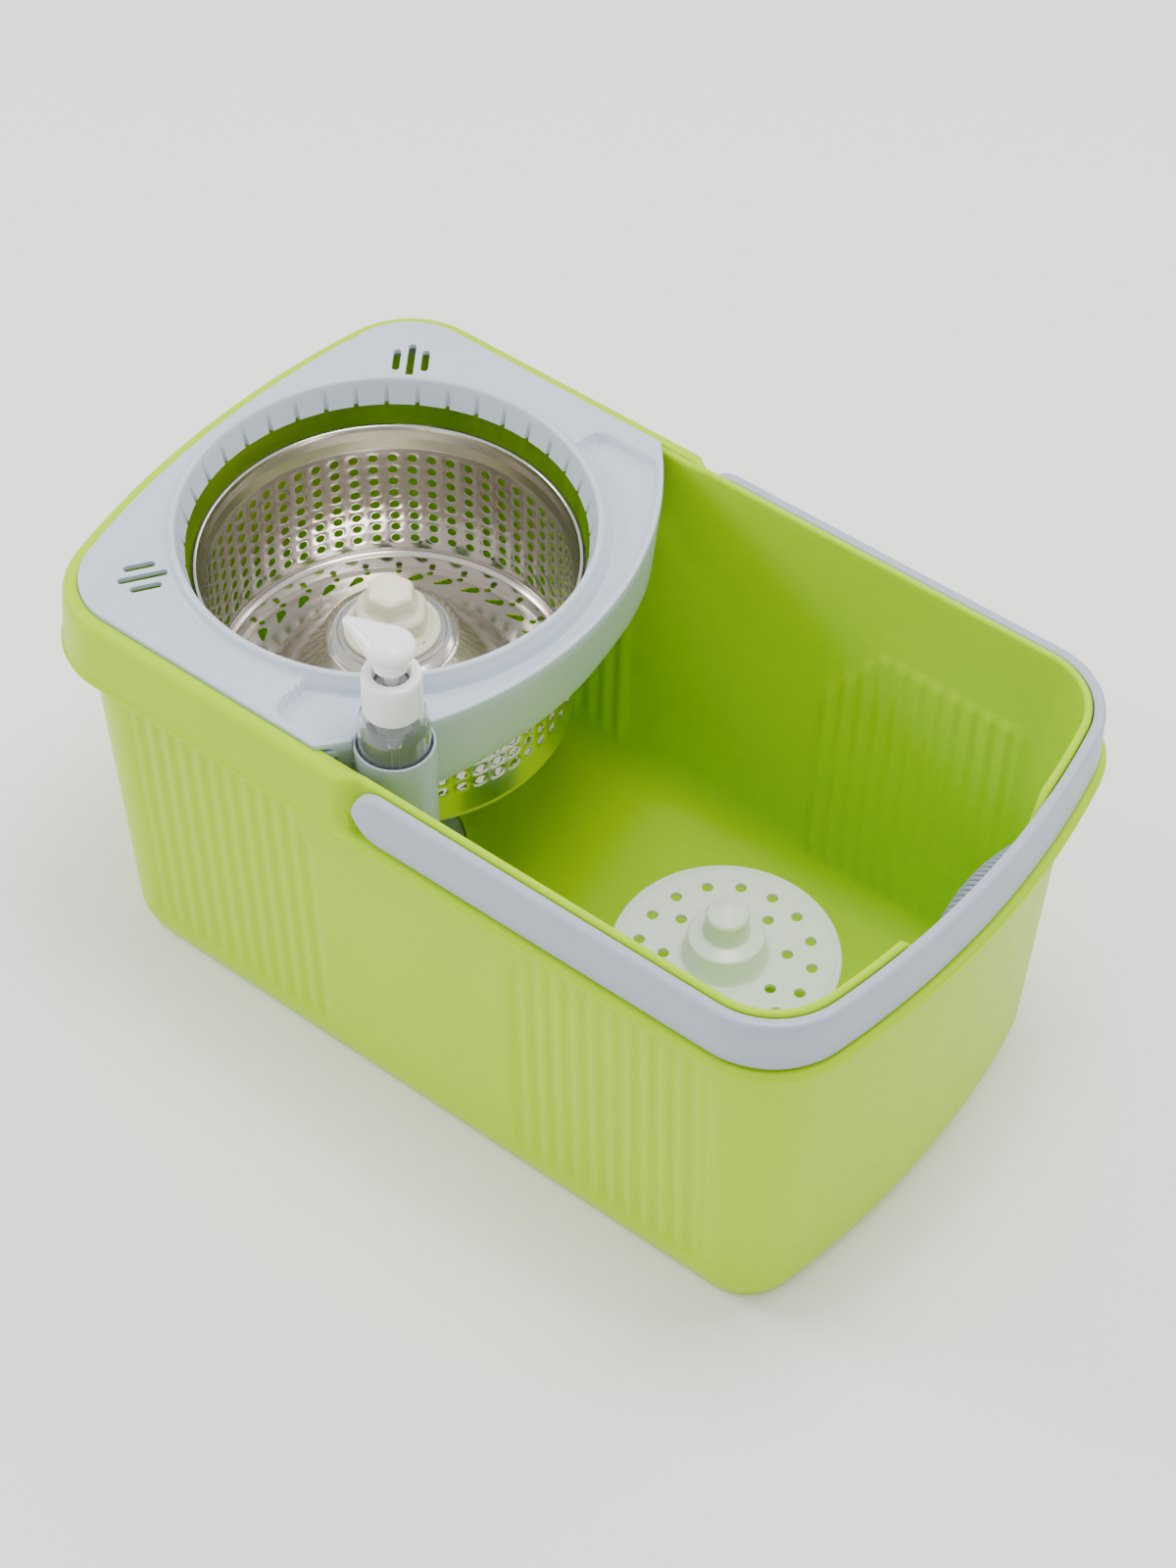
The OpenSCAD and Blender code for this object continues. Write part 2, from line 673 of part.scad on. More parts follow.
module spindle() {
    color("#bfc3c7") at_basket() {
        translate([0, 0, post_top - 46]) cylinder(h = spindle_top - post_top + 45, d = spindle_d);
        translate([0, 0, spindle_top - 1]) cylinder(h = 1, d1 = spindle_d, d2 = spindle_d - 2);
        translate([0, 0, post_top - 48]) cylinder(h = 2, d1 = spindle_d - 3, d2 = spindle_d);
    }
}

// Hollow cone that stands on the tub's floor and holds the spindle
module support_post() {
    foot_z = floor_t + 2;
    color("#b9c2ca") at_basket() difference() {
        union() {
            translate([0, 0, foot_z]) cylinder(h = 3, r = post_foot_r);
            translate([0, 0, foot_z + 3]) cylinder(h = post_top - foot_z - 13, r1 = 21, r2 = 12);
            translate([0, 0, post_top - 12]) cylinder(h = 12, r = 12);
        }
        translate([0, 0, foot_z - 1]) cylinder(h = post_top - foot_z - 50, r1 = 18.6, r2 = 10);
        translate([0, 0, 20]) cylinder(h = big, d = spindle_d);
        for (a = [45:90:359]) rotate(a) translate([post_screw_r, 0, foot_z - 1]) cylinder(h = 10, d = 4.2);
    }
}

module post_screws() {
    color("#9aa0a6") at_basket() for (a = [45:90:359]) rotate(a)
        translate([post_screw_r, 0, floor_t + 6.2]) screw(3.2, 6);
}

// ---- wash disc ----

module wash_disc() {
    step_z = disc_z + 16;
    color("#e9f1ec") at_disc() difference() {
        union() {
            rotate_extrude() polygon([
                [0, disc_z - disc_t], [disc_r - 1, disc_z - disc_t - 1.4], [disc_r, disc_z - disc_t - 0.6],
                [disc_r, disc_z - 1], [disc_r - 1, disc_z], [disc_hub_r + 1, disc_z],
                [disc_hub_r, disc_z + 1], [disc_hub_r - 2.6, step_z - 1], [disc_hub_r - 3.6, step_z],
                [disc_core_r, step_z + 3], [disc_core_r, peak_z - 5.6], [disc_core_r - 0.6, peak_z - 5],
                [0, peak_z]]);
            translate([0, 0, disc_boss_z + bush_t]) cylinder(h = disc_z - disc_boss_z, r = pin_d / 2 + 3);
        }
        // hollow of the hub round the socket
        difference() {
            translate([0, 0, disc_z - disc_t - 2]) cylinder(h = step_z - disc_z + disc_t - 1, r1 = disc_hub_r - 2.2,
                r2 = disc_hub_r - 5.4);
            cylinder(h = big, r = pin_d / 2 + 3);
        }
        translate([0, 0, -1]) cylinder(h = peak_z - 12, r = pin_d / 2 + run);
        for (i = [0:15]) rotate(22.5 * i + 3.5) translate([disc_r * 0.75, 0, 0])
            cylinder(h = big, d = disc_hole_d, $fn = 32);
        for (i = [0:7]) rotate(45 * i - 7.6) translate([disc_r * 0.53, 0, 0])
            cylinder(h = big, d = disc_hole_d, $fn = 32);
    }
}

module disc_bush() {
    color("#d9a441") at_disc() translate([0, 0, disc_boss_z]) difference() {
        cylinder(h = bush_t, r = pin_d / 2 + 4);
        translate([0, 0, -1]) cylinder(h = 5, r = pin_d / 2 + run);
    }
}

module wash_pin() {
    color("#bfc3c7") at_disc() {
        translate([0, 0, disc_boss_z - 14]) cylinder(h = peak_z - 16 - disc_boss_z + 14, d = pin_d);
        translate([0, 0, peak_z - 16]) cylinder(h = 1.5, d1 = pin_d, d2 = pin_d - 3);
    }
}

// ---- soap pump ----

module bottle() {
    r = bottle_d / 2;
    t = 0.9;
    bow = [for (a = [0:15:75]) [neck_r + (r - neck_r) * cos(a), shoulder_z + 11 * sin(a)]];
    bow_in = [for (a = [75:-15:0]) [neck_r - t + (r - neck_r) * cos(a), shoulder_z + 10.2 * sin(a)]];
    color("#dfe8ea", 0.5) at_bottle() difference() {
        rotate_extrude() polygon(concat(
            [[0, bottle_z + 1.6], [r - 5, bottle_z + 1.6], [r - 4, bottle_z], [r - 1.6, bottle_z],
             [r, bottle_z + 1.8]], bow,
            [[neck_r, neck_z], [neck_r, neck_top], [neck_r - 1.6, neck_top], [neck_r - 1.6, neck_z]], bow_in,
            [[r - t, bottle_z + 3], [r - 2, bottle_z + 2.5], [0, bottle_z + 2.5]]));
    }
}

module closure() {
    r = closure_d / 2;
    color("#fbfbfb") at_bottle() difference() {
        union() {
            translate([0, 0, closure_z]) cylinder(h = closure_h - 1.2, r = r);
            translate([0, 0, closure_top - 1.2]) cylinder(h = 1.2, r1 = r, r2 = r - 1.2);
        }
        translate([0, 0, closure_z - 1]) cylinder(h = flange_seat + 1.6 - closure_z + 1, r = neck_r + 0.8);
        translate([0, 0, closure_z]) cylinder(h = closure_h + 1, r = stem_r + 5.2);
    }
}

module closure_gasket() {
    color("#8d9499") at_bottle() translate([0, 0, neck_top]) difference() {
        cylinder(h = gasket_t, r = neck_r);
        translate([0, 0, -1]) cylinder(h = 4, r = chamber_r + 0.4);
    }
}

// Clear cylinder of the pump, hung by its flange between gasket and closure
module pump_chamber() {
    t = 1;
    color("#e8eef0", 0.6) at_bottle() difference() {
        union() {
            translate([0, 0, flange_seat]) cylinder(h = 1.5, r = neck_r);
            translate([0, 0, chamber_z]) cylinder(h = flange_seat - chamber_z + 1, r = chamber_r);
            translate([0, 0, chamber_z - 5]) cylinder(h = 5, r1 = 4.6, r2 = chamber_r);
            translate([0, 0, chamber_z - 12]) cylinder(h = 8, r = 3.4);
            translate([0, 0, flange_seat + 1.5]) cylinder(h = 2.5, r = stem_r + 4.8);
        }
        translate([0, 0, chamber_z]) cylinder(h = flange_seat - chamber_z + 2.6, r = chamber_r - t);
        translate([0, 0, chamber_z - 4]) cylinder(h = 5, r1 = 3, r2 = chamber_r - t);
        translate([0, 0, chamber_z - 20]) cylinder(h = 30, r = 1.5);
        translate([0, 0, chamber_z - 20]) cylinder(h = 14, r = 2.25);
        translate([0, 0, flange_seat]) cylinder(h = 10, r = stem_r + fit);
    }
}

module valve_ball() {
    color("silver") at_bottle() translate([0, 0, chamber_z - 2.36]) sphere(2.2, $fn = 32);
}

piston_h = 5;
piston_z = flange_seat + 2.4 - piston_h;    // underside of the piston at rest
spring_d = 0.9;
spring_r = 5.4;

// Coil made of stacked rings, which reads as a close spiral
module pump_spring() {
    low = chamber_z + 0.1;
    high = piston_z - 0.1;
    turns = 7;
    color("#8c9298") at_bottle() for (i = [0:turns - 1])
        translate([0, 0, low + spring_d / 2 + (high - low - spring_d) * i / (turns - 1)])
            rotate_extrude() translate([spring_r, 0]) circle(d = spring_d, $fn = 16);
}

module pump_stem() {
    color("#f4f4f2") at_bottle() difference() {
        union() {
            translate([0, 0, piston_z]) cylinder(h = head_z + 5.9 - piston_z, r = stem_r);
            translate([0, 0, piston_z]) cylinder(h = piston_h - 0.5, r = chamber_r - 1 - run);
        }
        translate([0, 0, piston_z - 1]) cylinder(h = big, r = 1.6);
    }
}

module pump_head() {
    body_r = 11.4;
    z0 = head_z;
    color("#fcfcfc") at_bottle() difference() {
        union() {
            hull() {
                translate([0, 0, z0 + 1]) cylinder(h = 8, r = body_r, $fn = 32);
                translate([0, 0, z0 + 9]) cylinder(h = 2, r = body_r - 3, $fn = 32);
                translate([-spout_l + 3, 0, z0 + 4.5]) cylinder(h = 3.5, r = 2.6, $fn = 32);
            }
            translate([0, 0, z0 - stroke + 3.2]) cylinder(h = stroke, r = stem_r + 3.8);
        }
        translate([0, 0, z0 - stroke]) cylinder(h = stroke + 6, r = stem_r + run);
        translate([0, 0, z0 + 6.5]) rotate([0, -90, 0]) cylinder(h = spout_l + 5, r = 1.2, $fn = 24);
    }
}

module dip_tube() {
    low = bottle_z + 4;
    color("#eef3f4", 0.7) at_bottle() translate([0, 0, low]) difference() {
        cylinder(h = chamber_z - 6.2 - low, r = 2.2);
        translate([0, 0, -1]) cylinder(h = big, r = 1.4);
    }
}

tub();
bail_handle();
handle_grip();
deck();
bottle_cup();
basket_shell();
basket_floor();
drive_hub();
hub_ring();
hub_screws();
hub_socket();
socket_bush();
thrust_ball();
spindle();
support_post();
post_screws();
wash_disc();
disc_bush();
wash_pin();
bottle();
closure();
closure_gasket();
pump_chamber();
valve_ball();
pump_spring();
pump_stem();
pump_head();
dip_tube();
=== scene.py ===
import math
import bmesh
import bpy
from mathutils import Matrix, Vector


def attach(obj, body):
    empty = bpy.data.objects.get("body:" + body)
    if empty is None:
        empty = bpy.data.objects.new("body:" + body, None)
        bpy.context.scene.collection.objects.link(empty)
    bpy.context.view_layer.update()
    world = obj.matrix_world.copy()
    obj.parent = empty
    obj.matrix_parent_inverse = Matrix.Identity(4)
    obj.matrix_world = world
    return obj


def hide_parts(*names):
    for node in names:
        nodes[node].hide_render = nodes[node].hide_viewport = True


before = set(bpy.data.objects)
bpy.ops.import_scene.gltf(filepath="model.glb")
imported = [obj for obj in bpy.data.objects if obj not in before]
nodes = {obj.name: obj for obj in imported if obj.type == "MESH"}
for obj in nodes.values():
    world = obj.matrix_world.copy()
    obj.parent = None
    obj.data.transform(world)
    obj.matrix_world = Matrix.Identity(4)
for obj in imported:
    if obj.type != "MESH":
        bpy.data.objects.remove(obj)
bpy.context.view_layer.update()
mm = 0.001
mergeGap = 0.04 * mm     # closes the seams between repeated tiles

# sizes are in millimetres; makeMesh turns them to metres
basketX = -118.0
discX = 96.0
bottleX, bottleY = -24.5, -105.0


def linearColour(hexText):
    parts = [int(hexText[i:i + 2], 16) / 255 for i in (0, 2, 4)]
    return [c / 12.92 if c <= 0.04045 else ((c + 0.055) / 1.055) ** 2.4 for c in parts] + [1.0]


def addNode(tree, kind, inputs=None, **settings):
    node = tree.nodes.new(kind)
    for name, value in settings.items():
        setattr(node, name, value)
    for name, value in (inputs or {}).items():
        if isinstance(value, bpy.types.NodeSocket):
            tree.links.new(value, node.inputs[name])
        else:
            node.inputs[name].default_value = value
    return node


def smoothStep(low, high, value):
    t = min(1.0, max(0.0, (value - low) / (high - low)))
    return t * t * (3 - 2 * t)


def mix(a, b, t):
    return a + (b - a) * t


def makeMesh(name, parts, sharp=38):
    # parts are (points, faces) pairs in mm, or meshes that are already in metres
    bm = bmesh.new()
    for part in parts:
        if isinstance(part, bpy.types.Mesh):
            bm.from_mesh(part)
            continue
        points, faces = part
        made = [bm.verts.new((x * mm, y * mm, z * mm)) for x, y, z in points]
        for face in faces:
            if len(set(face)) > 2:
                bm.faces.new([made[i] for i in face])
    mesh = bpy.data.meshes.new(name)
    bm.to_mesh(mesh)
    bm.free()
    mesh.shade_smooth()
    mesh.set_sharp_from_angle(angle=math.radians(sharp))
    return mesh


def addPiece(name, mesh, material, node=None, body=None):
    piece = bpy.data.objects.new(name, mesh)
    bpy.context.scene.collection.objects.link(piece)
    mesh.materials.clear()
    mesh.materials.append(material)
    if node:
        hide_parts(node)
    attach(piece, body)
    return piece


def skin(columns, closedRows=False, closedColumns=True, capStart=False, capEnd=False):
    # columns run anticlockwise seen from above, and rows run up the outside and down the inside
    count, rows = len(columns), len(columns[0])
    points = [p for column in columns for p in column]
    faces = []
    for j in range(count if closedColumns else count - 1):
        k = (j + 1) % count
        for i in range(rows if closedRows else rows - 1):
            n = (i + 1) % rows
            faces.append((j * rows + i, k * rows + i, k * rows + n, j * rows + n))
    if capStart:
        faces.append([j * rows for j in reversed(range(count))])
    if capEnd:
        faces.append([j * rows + rows - 1 for j in range(count)])
    return points, faces


def filleted(corners, steps=5):
    # corners are (a, b, fillet radius); the ends stay sharp
    out = []
    last = len(corners) - 1
    for i, (a, b, radius) in enumerate(corners):
        here = Vector((a, b))
        if i in (0, last) or radius <= 0:
            out.append((a, b))
            continue
        before = Vector(corners[i - 1][:2]) - here
        after = Vector(corners[i + 1][:2]) - here
        angle = before.angle(after)
        if angle > math.radians(176):
            out.append((a, b))
            continue
        reach = min(radius / math.tan(angle / 2), before.length * 0.49, after.length * 0.49)
        start, end = here + before.normalized() * reach, here + after.normalized() * reach
        for k in range(steps + 1):
            t = k / steps
            out.append(tuple(start * (1 - t) ** 2 + here * 2 * t * (1 - t) + end * t * t))
    return out


def lathe(profile, x=0.0, y=0.0, segments=96, lobes=None):
    # the profile goes up the outside from the axis or round a closed loop
    loop = profile[0] == profile[-1]
    points, faces, rings = [], [], []
    for radius, z in profile[:-1] if loop else profile:
        if radius < 0.001:
            rings.append([len(points)])
            points.append((x, y, z))
            continue
        ring = []
        for j in range(segments):
            angle = 2 * math.pi * j / segments
            r = radius * (lobes(angle, z) if lobes else 1.0)
            ring.append(len(points))
            points.append((x + r * math.cos(angle), y + r * math.sin(angle), z))
        rings.append(ring)
    pairs = list(zip(rings, rings[1:])) + ([(rings[-1], rings[0])] if loop else [])
    for low, high in pairs:
        for j in range(segments):
            k = (j + 1) % segments
            if len(low) == 1 and len(high) > 1:
                faces.append((low[0], high[k], high[j]))
            elif len(high) == 1 and len(low) > 1:
                faces.append((low[j], low[k], high[0]))
            elif len(low) > 1:
                faces.append((low[j], low[k], high[k], high[j]))
    return points, faces


def newMaterial(name):
    material = bpy.data.materials.new(name)
    material.use_nodes = True
    tree = material.node_tree
    tree.nodes.clear()
    shader = addNode(tree, "ShaderNodeBsdfPrincipled")
    addNode(tree, "ShaderNodeOutputMaterial", {"Surface": shader.outputs[0]})
    place = addNode(tree, "ShaderNodeTexCoord").outputs["Object"]
    return material, tree, shader, place


def mouldedPlastic(name, colour, deeper, roughness, grain=0.35, glow=0.0, glowColour=None,
        bump=0.04, shine=0.5):
    # polypropylene: an even colour with a slow drift, flow-smooth gloss broken by the mould's fine grain
    material, tree, shader, place = newMaterial(name)
    drift = addNode(tree, "ShaderNodeTexNoise", {"Vector": place, "Scale": 1 / (90 * mm), "Detail": 2.0})
    tone = addNode(tree, "ShaderNodeMix", {"Factor": drift.outputs["Fac"]}, data_type="RGBA")
    tone.inputs["A"].default_value = linearColour(colour)
    tone.inputs["B"].default_value = linearColour(deeper)
    fine = addNode(tree, "ShaderNodeTexNoise", {"Vector": place, "Scale": 1 / (grain * 4 * mm),
        "Detail": 3.0})
    scuff = addNode(tree, "ShaderNodeTexNoise", {"Vector": place, "Scale": 1 / (14 * mm), "Detail": 5.0})
    gloss = addNode(tree, "ShaderNodeMapRange", {"Value": scuff.outputs["Fac"], "From Min": 0.3,
        "From Max": 0.7, "To Min": roughness - 0.02, "To Max": roughness + 0.03})
    relief = addNode(tree, "ShaderNodeBump", {"Height": fine.outputs["Fac"], "Strength": bump,
        "Distance": 0.0002})
    tree.links.new(tone.outputs["Result"], shader.inputs["Base Color"])
    tree.links.new(gloss.outputs["Result"], shader.inputs["Roughness"])
    tree.links.new(relief.outputs["Normal"], shader.inputs["Normal"])
    shader.inputs["IOR"].default_value = 1.49
    shader.inputs["Specular IOR Level"].default_value = shine
    if glow:
        shader.inputs["Subsurface Weight"].default_value = glow
        shader.inputs["Subsurface Radius"].default_value = glowColour or (1.0, 1.0, 0.4)
        shader.inputs["Subsurface Scale"].default_value = 0.006
    return material


def turnedSteel(name, colour, roughness, centre, line=0.45, strength=0.12):
    # stainless sheet spun on a former: fine rings round the axis that draw the light out sideways
    material, tree, shader, place = newMaterial(name)
    moved = addNode(tree, "ShaderNodeMapping", {"Vector": place})
    moved.inputs["Location"].default_value = (-centre * mm, 0, 0)
    parts = addNode(tree, "ShaderNodeSeparateXYZ", {"Vector": moved.outputs[0]})
    flat = addNode(tree, "ShaderNodeCombineXYZ", {"X": parts.outputs["X"], "Y": parts.outputs["Y"]})
    radius = addNode(tree, "ShaderNodeVectorMath", {0: flat.outputs[0]}, operation="LENGTH")
    pair = addNode(tree, "ShaderNodeCombineXYZ", {"X": radius.outputs["Value"], "Y": parts.outputs["Z"]})
    rings = addNode(tree, "ShaderNodeTexNoise", {"Vector": pair.outputs[0], "Scale": 1 / (line * mm),
        "Detail": 4.0, "Roughness": 0.6})
    smear = addNode(tree, "ShaderNodeTexNoise", {"Vector": place, "Scale": 1 / (22 * mm), "Detail": 4.0})
    both = addNode(tree, "ShaderNodeMath", {0: rings.outputs["Fac"], 1: smear.outputs["Fac"]},
        operation="ADD")
    gloss = addNode(tree, "ShaderNodeMapRange", {"Value": both.outputs[0], "From Min": 0.6, "From Max": 1.4,
        "To Min": roughness - 0.07, "To Max": roughness + 0.1})
    relief = addNode(tree, "ShaderNodeBump", {"Height": rings.outputs["Fac"], "Strength": strength,
        "Distance": 0.0002})
    shader.inputs["Base Color"].default_value = linearColour(colour)
    shader.inputs["Metallic"].default_value = 1.0
    tree.links.new(gloss.outputs["Result"], shader.inputs["Roughness"])
    tree.links.new(relief.outputs["Normal"], shader.inputs["Normal"])
    return material


def clearPlastic(name, colour, roughness):
    # blown PET: clear with a faint grey cast and thin walls
    material, tree, shader, place = newMaterial(name)
    wave = addNode(tree, "ShaderNodeTexNoise", {"Vector": place, "Scale": 1 / (9 * mm), "Detail": 2.0})
    relief = addNode(tree, "ShaderNodeBump", {"Height": wave.outputs["Fac"], "Strength": 0.15,
        "Distance": 0.0005})
    tree.links.new(relief.outputs["Normal"], shader.inputs["Normal"])
    shader.inputs["Base Color"].default_value = linearColour(colour)
    shader.inputs["Roughness"].default_value = roughness
    shader.inputs["IOR"].default_value = 1.5
    shader.inputs["Transmission Weight"].default_value = 0.92
    return material


# bright, softly glossy and faintly lit from within, so the tub reads as thin polypropylene
limePlastic = mouldedPlastic("limePolypropylene", "B4DD00", "ADD600", 0.32, glow=0.08,
    glowColour=(0.8, 1.0, 0.02),
    shine=0.08)
# cool greys, from the pale satin deck to the matt grip
deckPlastic = mouldedPlastic("greyDeckPolypropylene", "C3CFDB", "BECAD6", 0.34)
bailPlastic = mouldedPlastic("greyBailPolypropylene", "ADB6C6", "A7B0C0", 0.38)
gripPlastic = mouldedPlastic("greyGripRubber", "8E96A3", "868E9B", 0.5, bump=0.1)
cupPlastic = mouldedPlastic("greyCupPolypropylene", "A9B6BF", "A2AFB8", 0.3)
# warm cream and clean whites that let a little light in
hubPlastic = mouldedPlastic("creamNylonHub", "F6F3D6", "F0ECC8", 0.28, glow=0.3, glowColour=(1.0,
    0.95, 0.7))
discPlastic = mouldedPlastic("whiteDiscPolypropylene", "F4FBF6", "EEF7F1", 0.26, glow=0.2,
    glowColour=(1, 1, 0.9))
pumpPlastic = mouldedPlastic("whitePumpPolypropylene", "FAFAFA", "F4F5F5", 0.22, glow=0.15,
    glowColour=(1, 1, 1))
# plain inner parts, duller than the outside
postPlastic = mouldedPlastic("greyPostPolypropylene", "B9C2CA", "B1BAC2", 0.42)
bushPlastic = mouldedPlastic("acetalBush", "DFA03F", "D2943A", 0.3)
gasketRubber = mouldedPlastic("softGasketRubber", "8D9499", "848B90", 0.65, bump=0.1)
# bright spun sheet with fine rings; the hardware is darker and the balls are mirror-like
basketSteel = turnedSteel("spunStainlessSteel", "D6D0C9", 0.15, basketX)
ringSteel = turnedSteel("turnedRingSteel", "C9C6C3", 0.3, basketX, 0.6, 0.2)
spindleSteel = turnedSteel("groundSpindleSteel", "C2C4C8", 0.24, basketX, 0.3, 0.1)
pinSteel = turnedSteel("groundPinSteel", "C2C4C8", 0.24, discX, 0.3, 0.1)
screwSteel = turnedSteel("platedScrewSteel", "A4A8AC", 0.3, basketX, 0.5, 0.15)
springSteel = turnedSteel("drawnSpringWire", "9EA2A6", 0.3, bottleX, 0.5, 0.15)
ballSteel = turnedSteel("polishedBallSteel", "D0D2D5", 0.12, basketX, 0.4, 0.03)
# the bottle is glass-clear and the chamber a little frosted
bottleClear = clearPlastic("clearBottlePet", "F4FAF8", 0.03)
chamberClear = clearPlastic("clearChamberPolypropylene", "EDF1F2", 0.22)
print("materials ready")


tub = {
    "length": 487.6, "width": 288.0, "rim": 243.0, "baseInX": 26.4, "baseInY": 24.0, "bow": 480.0,
    "lipCorner": 49.0, "baseCorner": 28.0, "floor": 3.0, "bevelOut": 4.0,
    "skirtHeight": 37.0, "skirtFlare": 3.0, "lipOut": 0.8, "rimRound": 5.0,
    "beadIn": 6.6, "beadWall": 4.0, "ledge": 210.5, "flutePitch": 10.3, "fluteStart": 60.0,
    "fluteEnd": 180.0, "fluteDepth": 1.35, "fluteRecess": 0.45, "cornerSteps": 12, "bowSteps": 36,
    "pivotX": -6.6, "pivotZ": 226.55}
skirtLow = (tub["length"] - 2 * tub["lipOut"], tub["width"] - 2 * tub["lipOut"],
    tub["lipCorner"] - tub["lipOut"])
flare = tub["skirtFlare"]
skirtTop = (skirtLow[0] - 2 * flare, skirtLow[1] - 2 * flare, tub["lipCorner"] - flare)
bead = (skirtTop[0] - 2 * tub["beadIn"], skirtTop[1] - 2 * tub["beadIn"], skirtTop[2] - tub["beadIn"])
base = (tub["length"] - 2 * tub["baseInX"], tub["width"] - 2 * tub["baseInY"], tub["baseCorner"])
skirtZ = tub["rim"] - tub["skirtHeight"]


def sideStations():
    # one station list for both long sides, dense across the flutes
    half, step = [], tub["flutePitch"] / 6
    x = 0.0
    while x < tub["fluteStart"] - 3:
        half.append(x)
        x += 3.0
    x = tub["fluteStart"] - 2
    while x < 179.4:
        half.append(x)
        x += step
    return sorted([-v for v in half if v > 0] + half)


stations = sideStations()


def bowedColumns(size, inset=0.0):
    length, width, corner = size[0] - 2 * inset, size[1] - 2 * inset, max(2.0, size[2] - inset)
    bow = tub["bow"] - inset
    cornerY, bowX = width / 2 - corner, length / 2 - bow
    cornerX = bowX + math.sqrt((bow - corner) ** 2 - cornerY ** 2)
    phi = math.atan2(cornerY, cornerX - bowX)
    steps, bowSteps = tub["cornerSteps"], tub["bowSteps"]
    end = []
    for i in range(steps):
        a = -math.pi / 2 + (math.pi / 2 - phi) * i / steps
        end.append((cornerX + corner * math.cos(a), -cornerY + corner * math.sin(a)))
    for i in range(bowSteps):
        a = -phi + 2 * phi * i / bowSteps
        end.append((bowX + bow * math.cos(a), bow * math.sin(a)))
    for i in range(steps + 1):
        a = phi + (math.pi / 2 - phi) * i / steps
        end.append((cornerX + corner * math.cos(a), cornerY + corner * math.sin(a)))
    far = [(x, width / 2) for x in reversed(stations)]
    near = [(x, -width / 2) for x in stations]
    return end + far + [(-x, -y) for x, y in end] + near


def fluteRelief(x, z, top, low):
    along = abs(x)
    diagonal = top - 49 + (along - tub["fluteStart"]) * 1.48
    panel = smoothStep(tub["fluteStart"] - 1.6, tub["fluteStart"] + 1.2, along)
    panel *= 1 - smoothStep(tub["fluteEnd"] - 6, tub["fluteEnd"] + 0.5, along)
    panel *= smoothStep(low, low + 4, z) * (1 - smoothStep(min(top, diagonal) - 2, min(top,
        diagonal) + 2, z))
    wave = 0.5 - 0.5 * math.cos(2 * math.pi * (along - tub["fluteStart"]) / tub["flutePitch"])
    return panel * (tub["fluteRecess"] + tub["fluteDepth"] * wave)


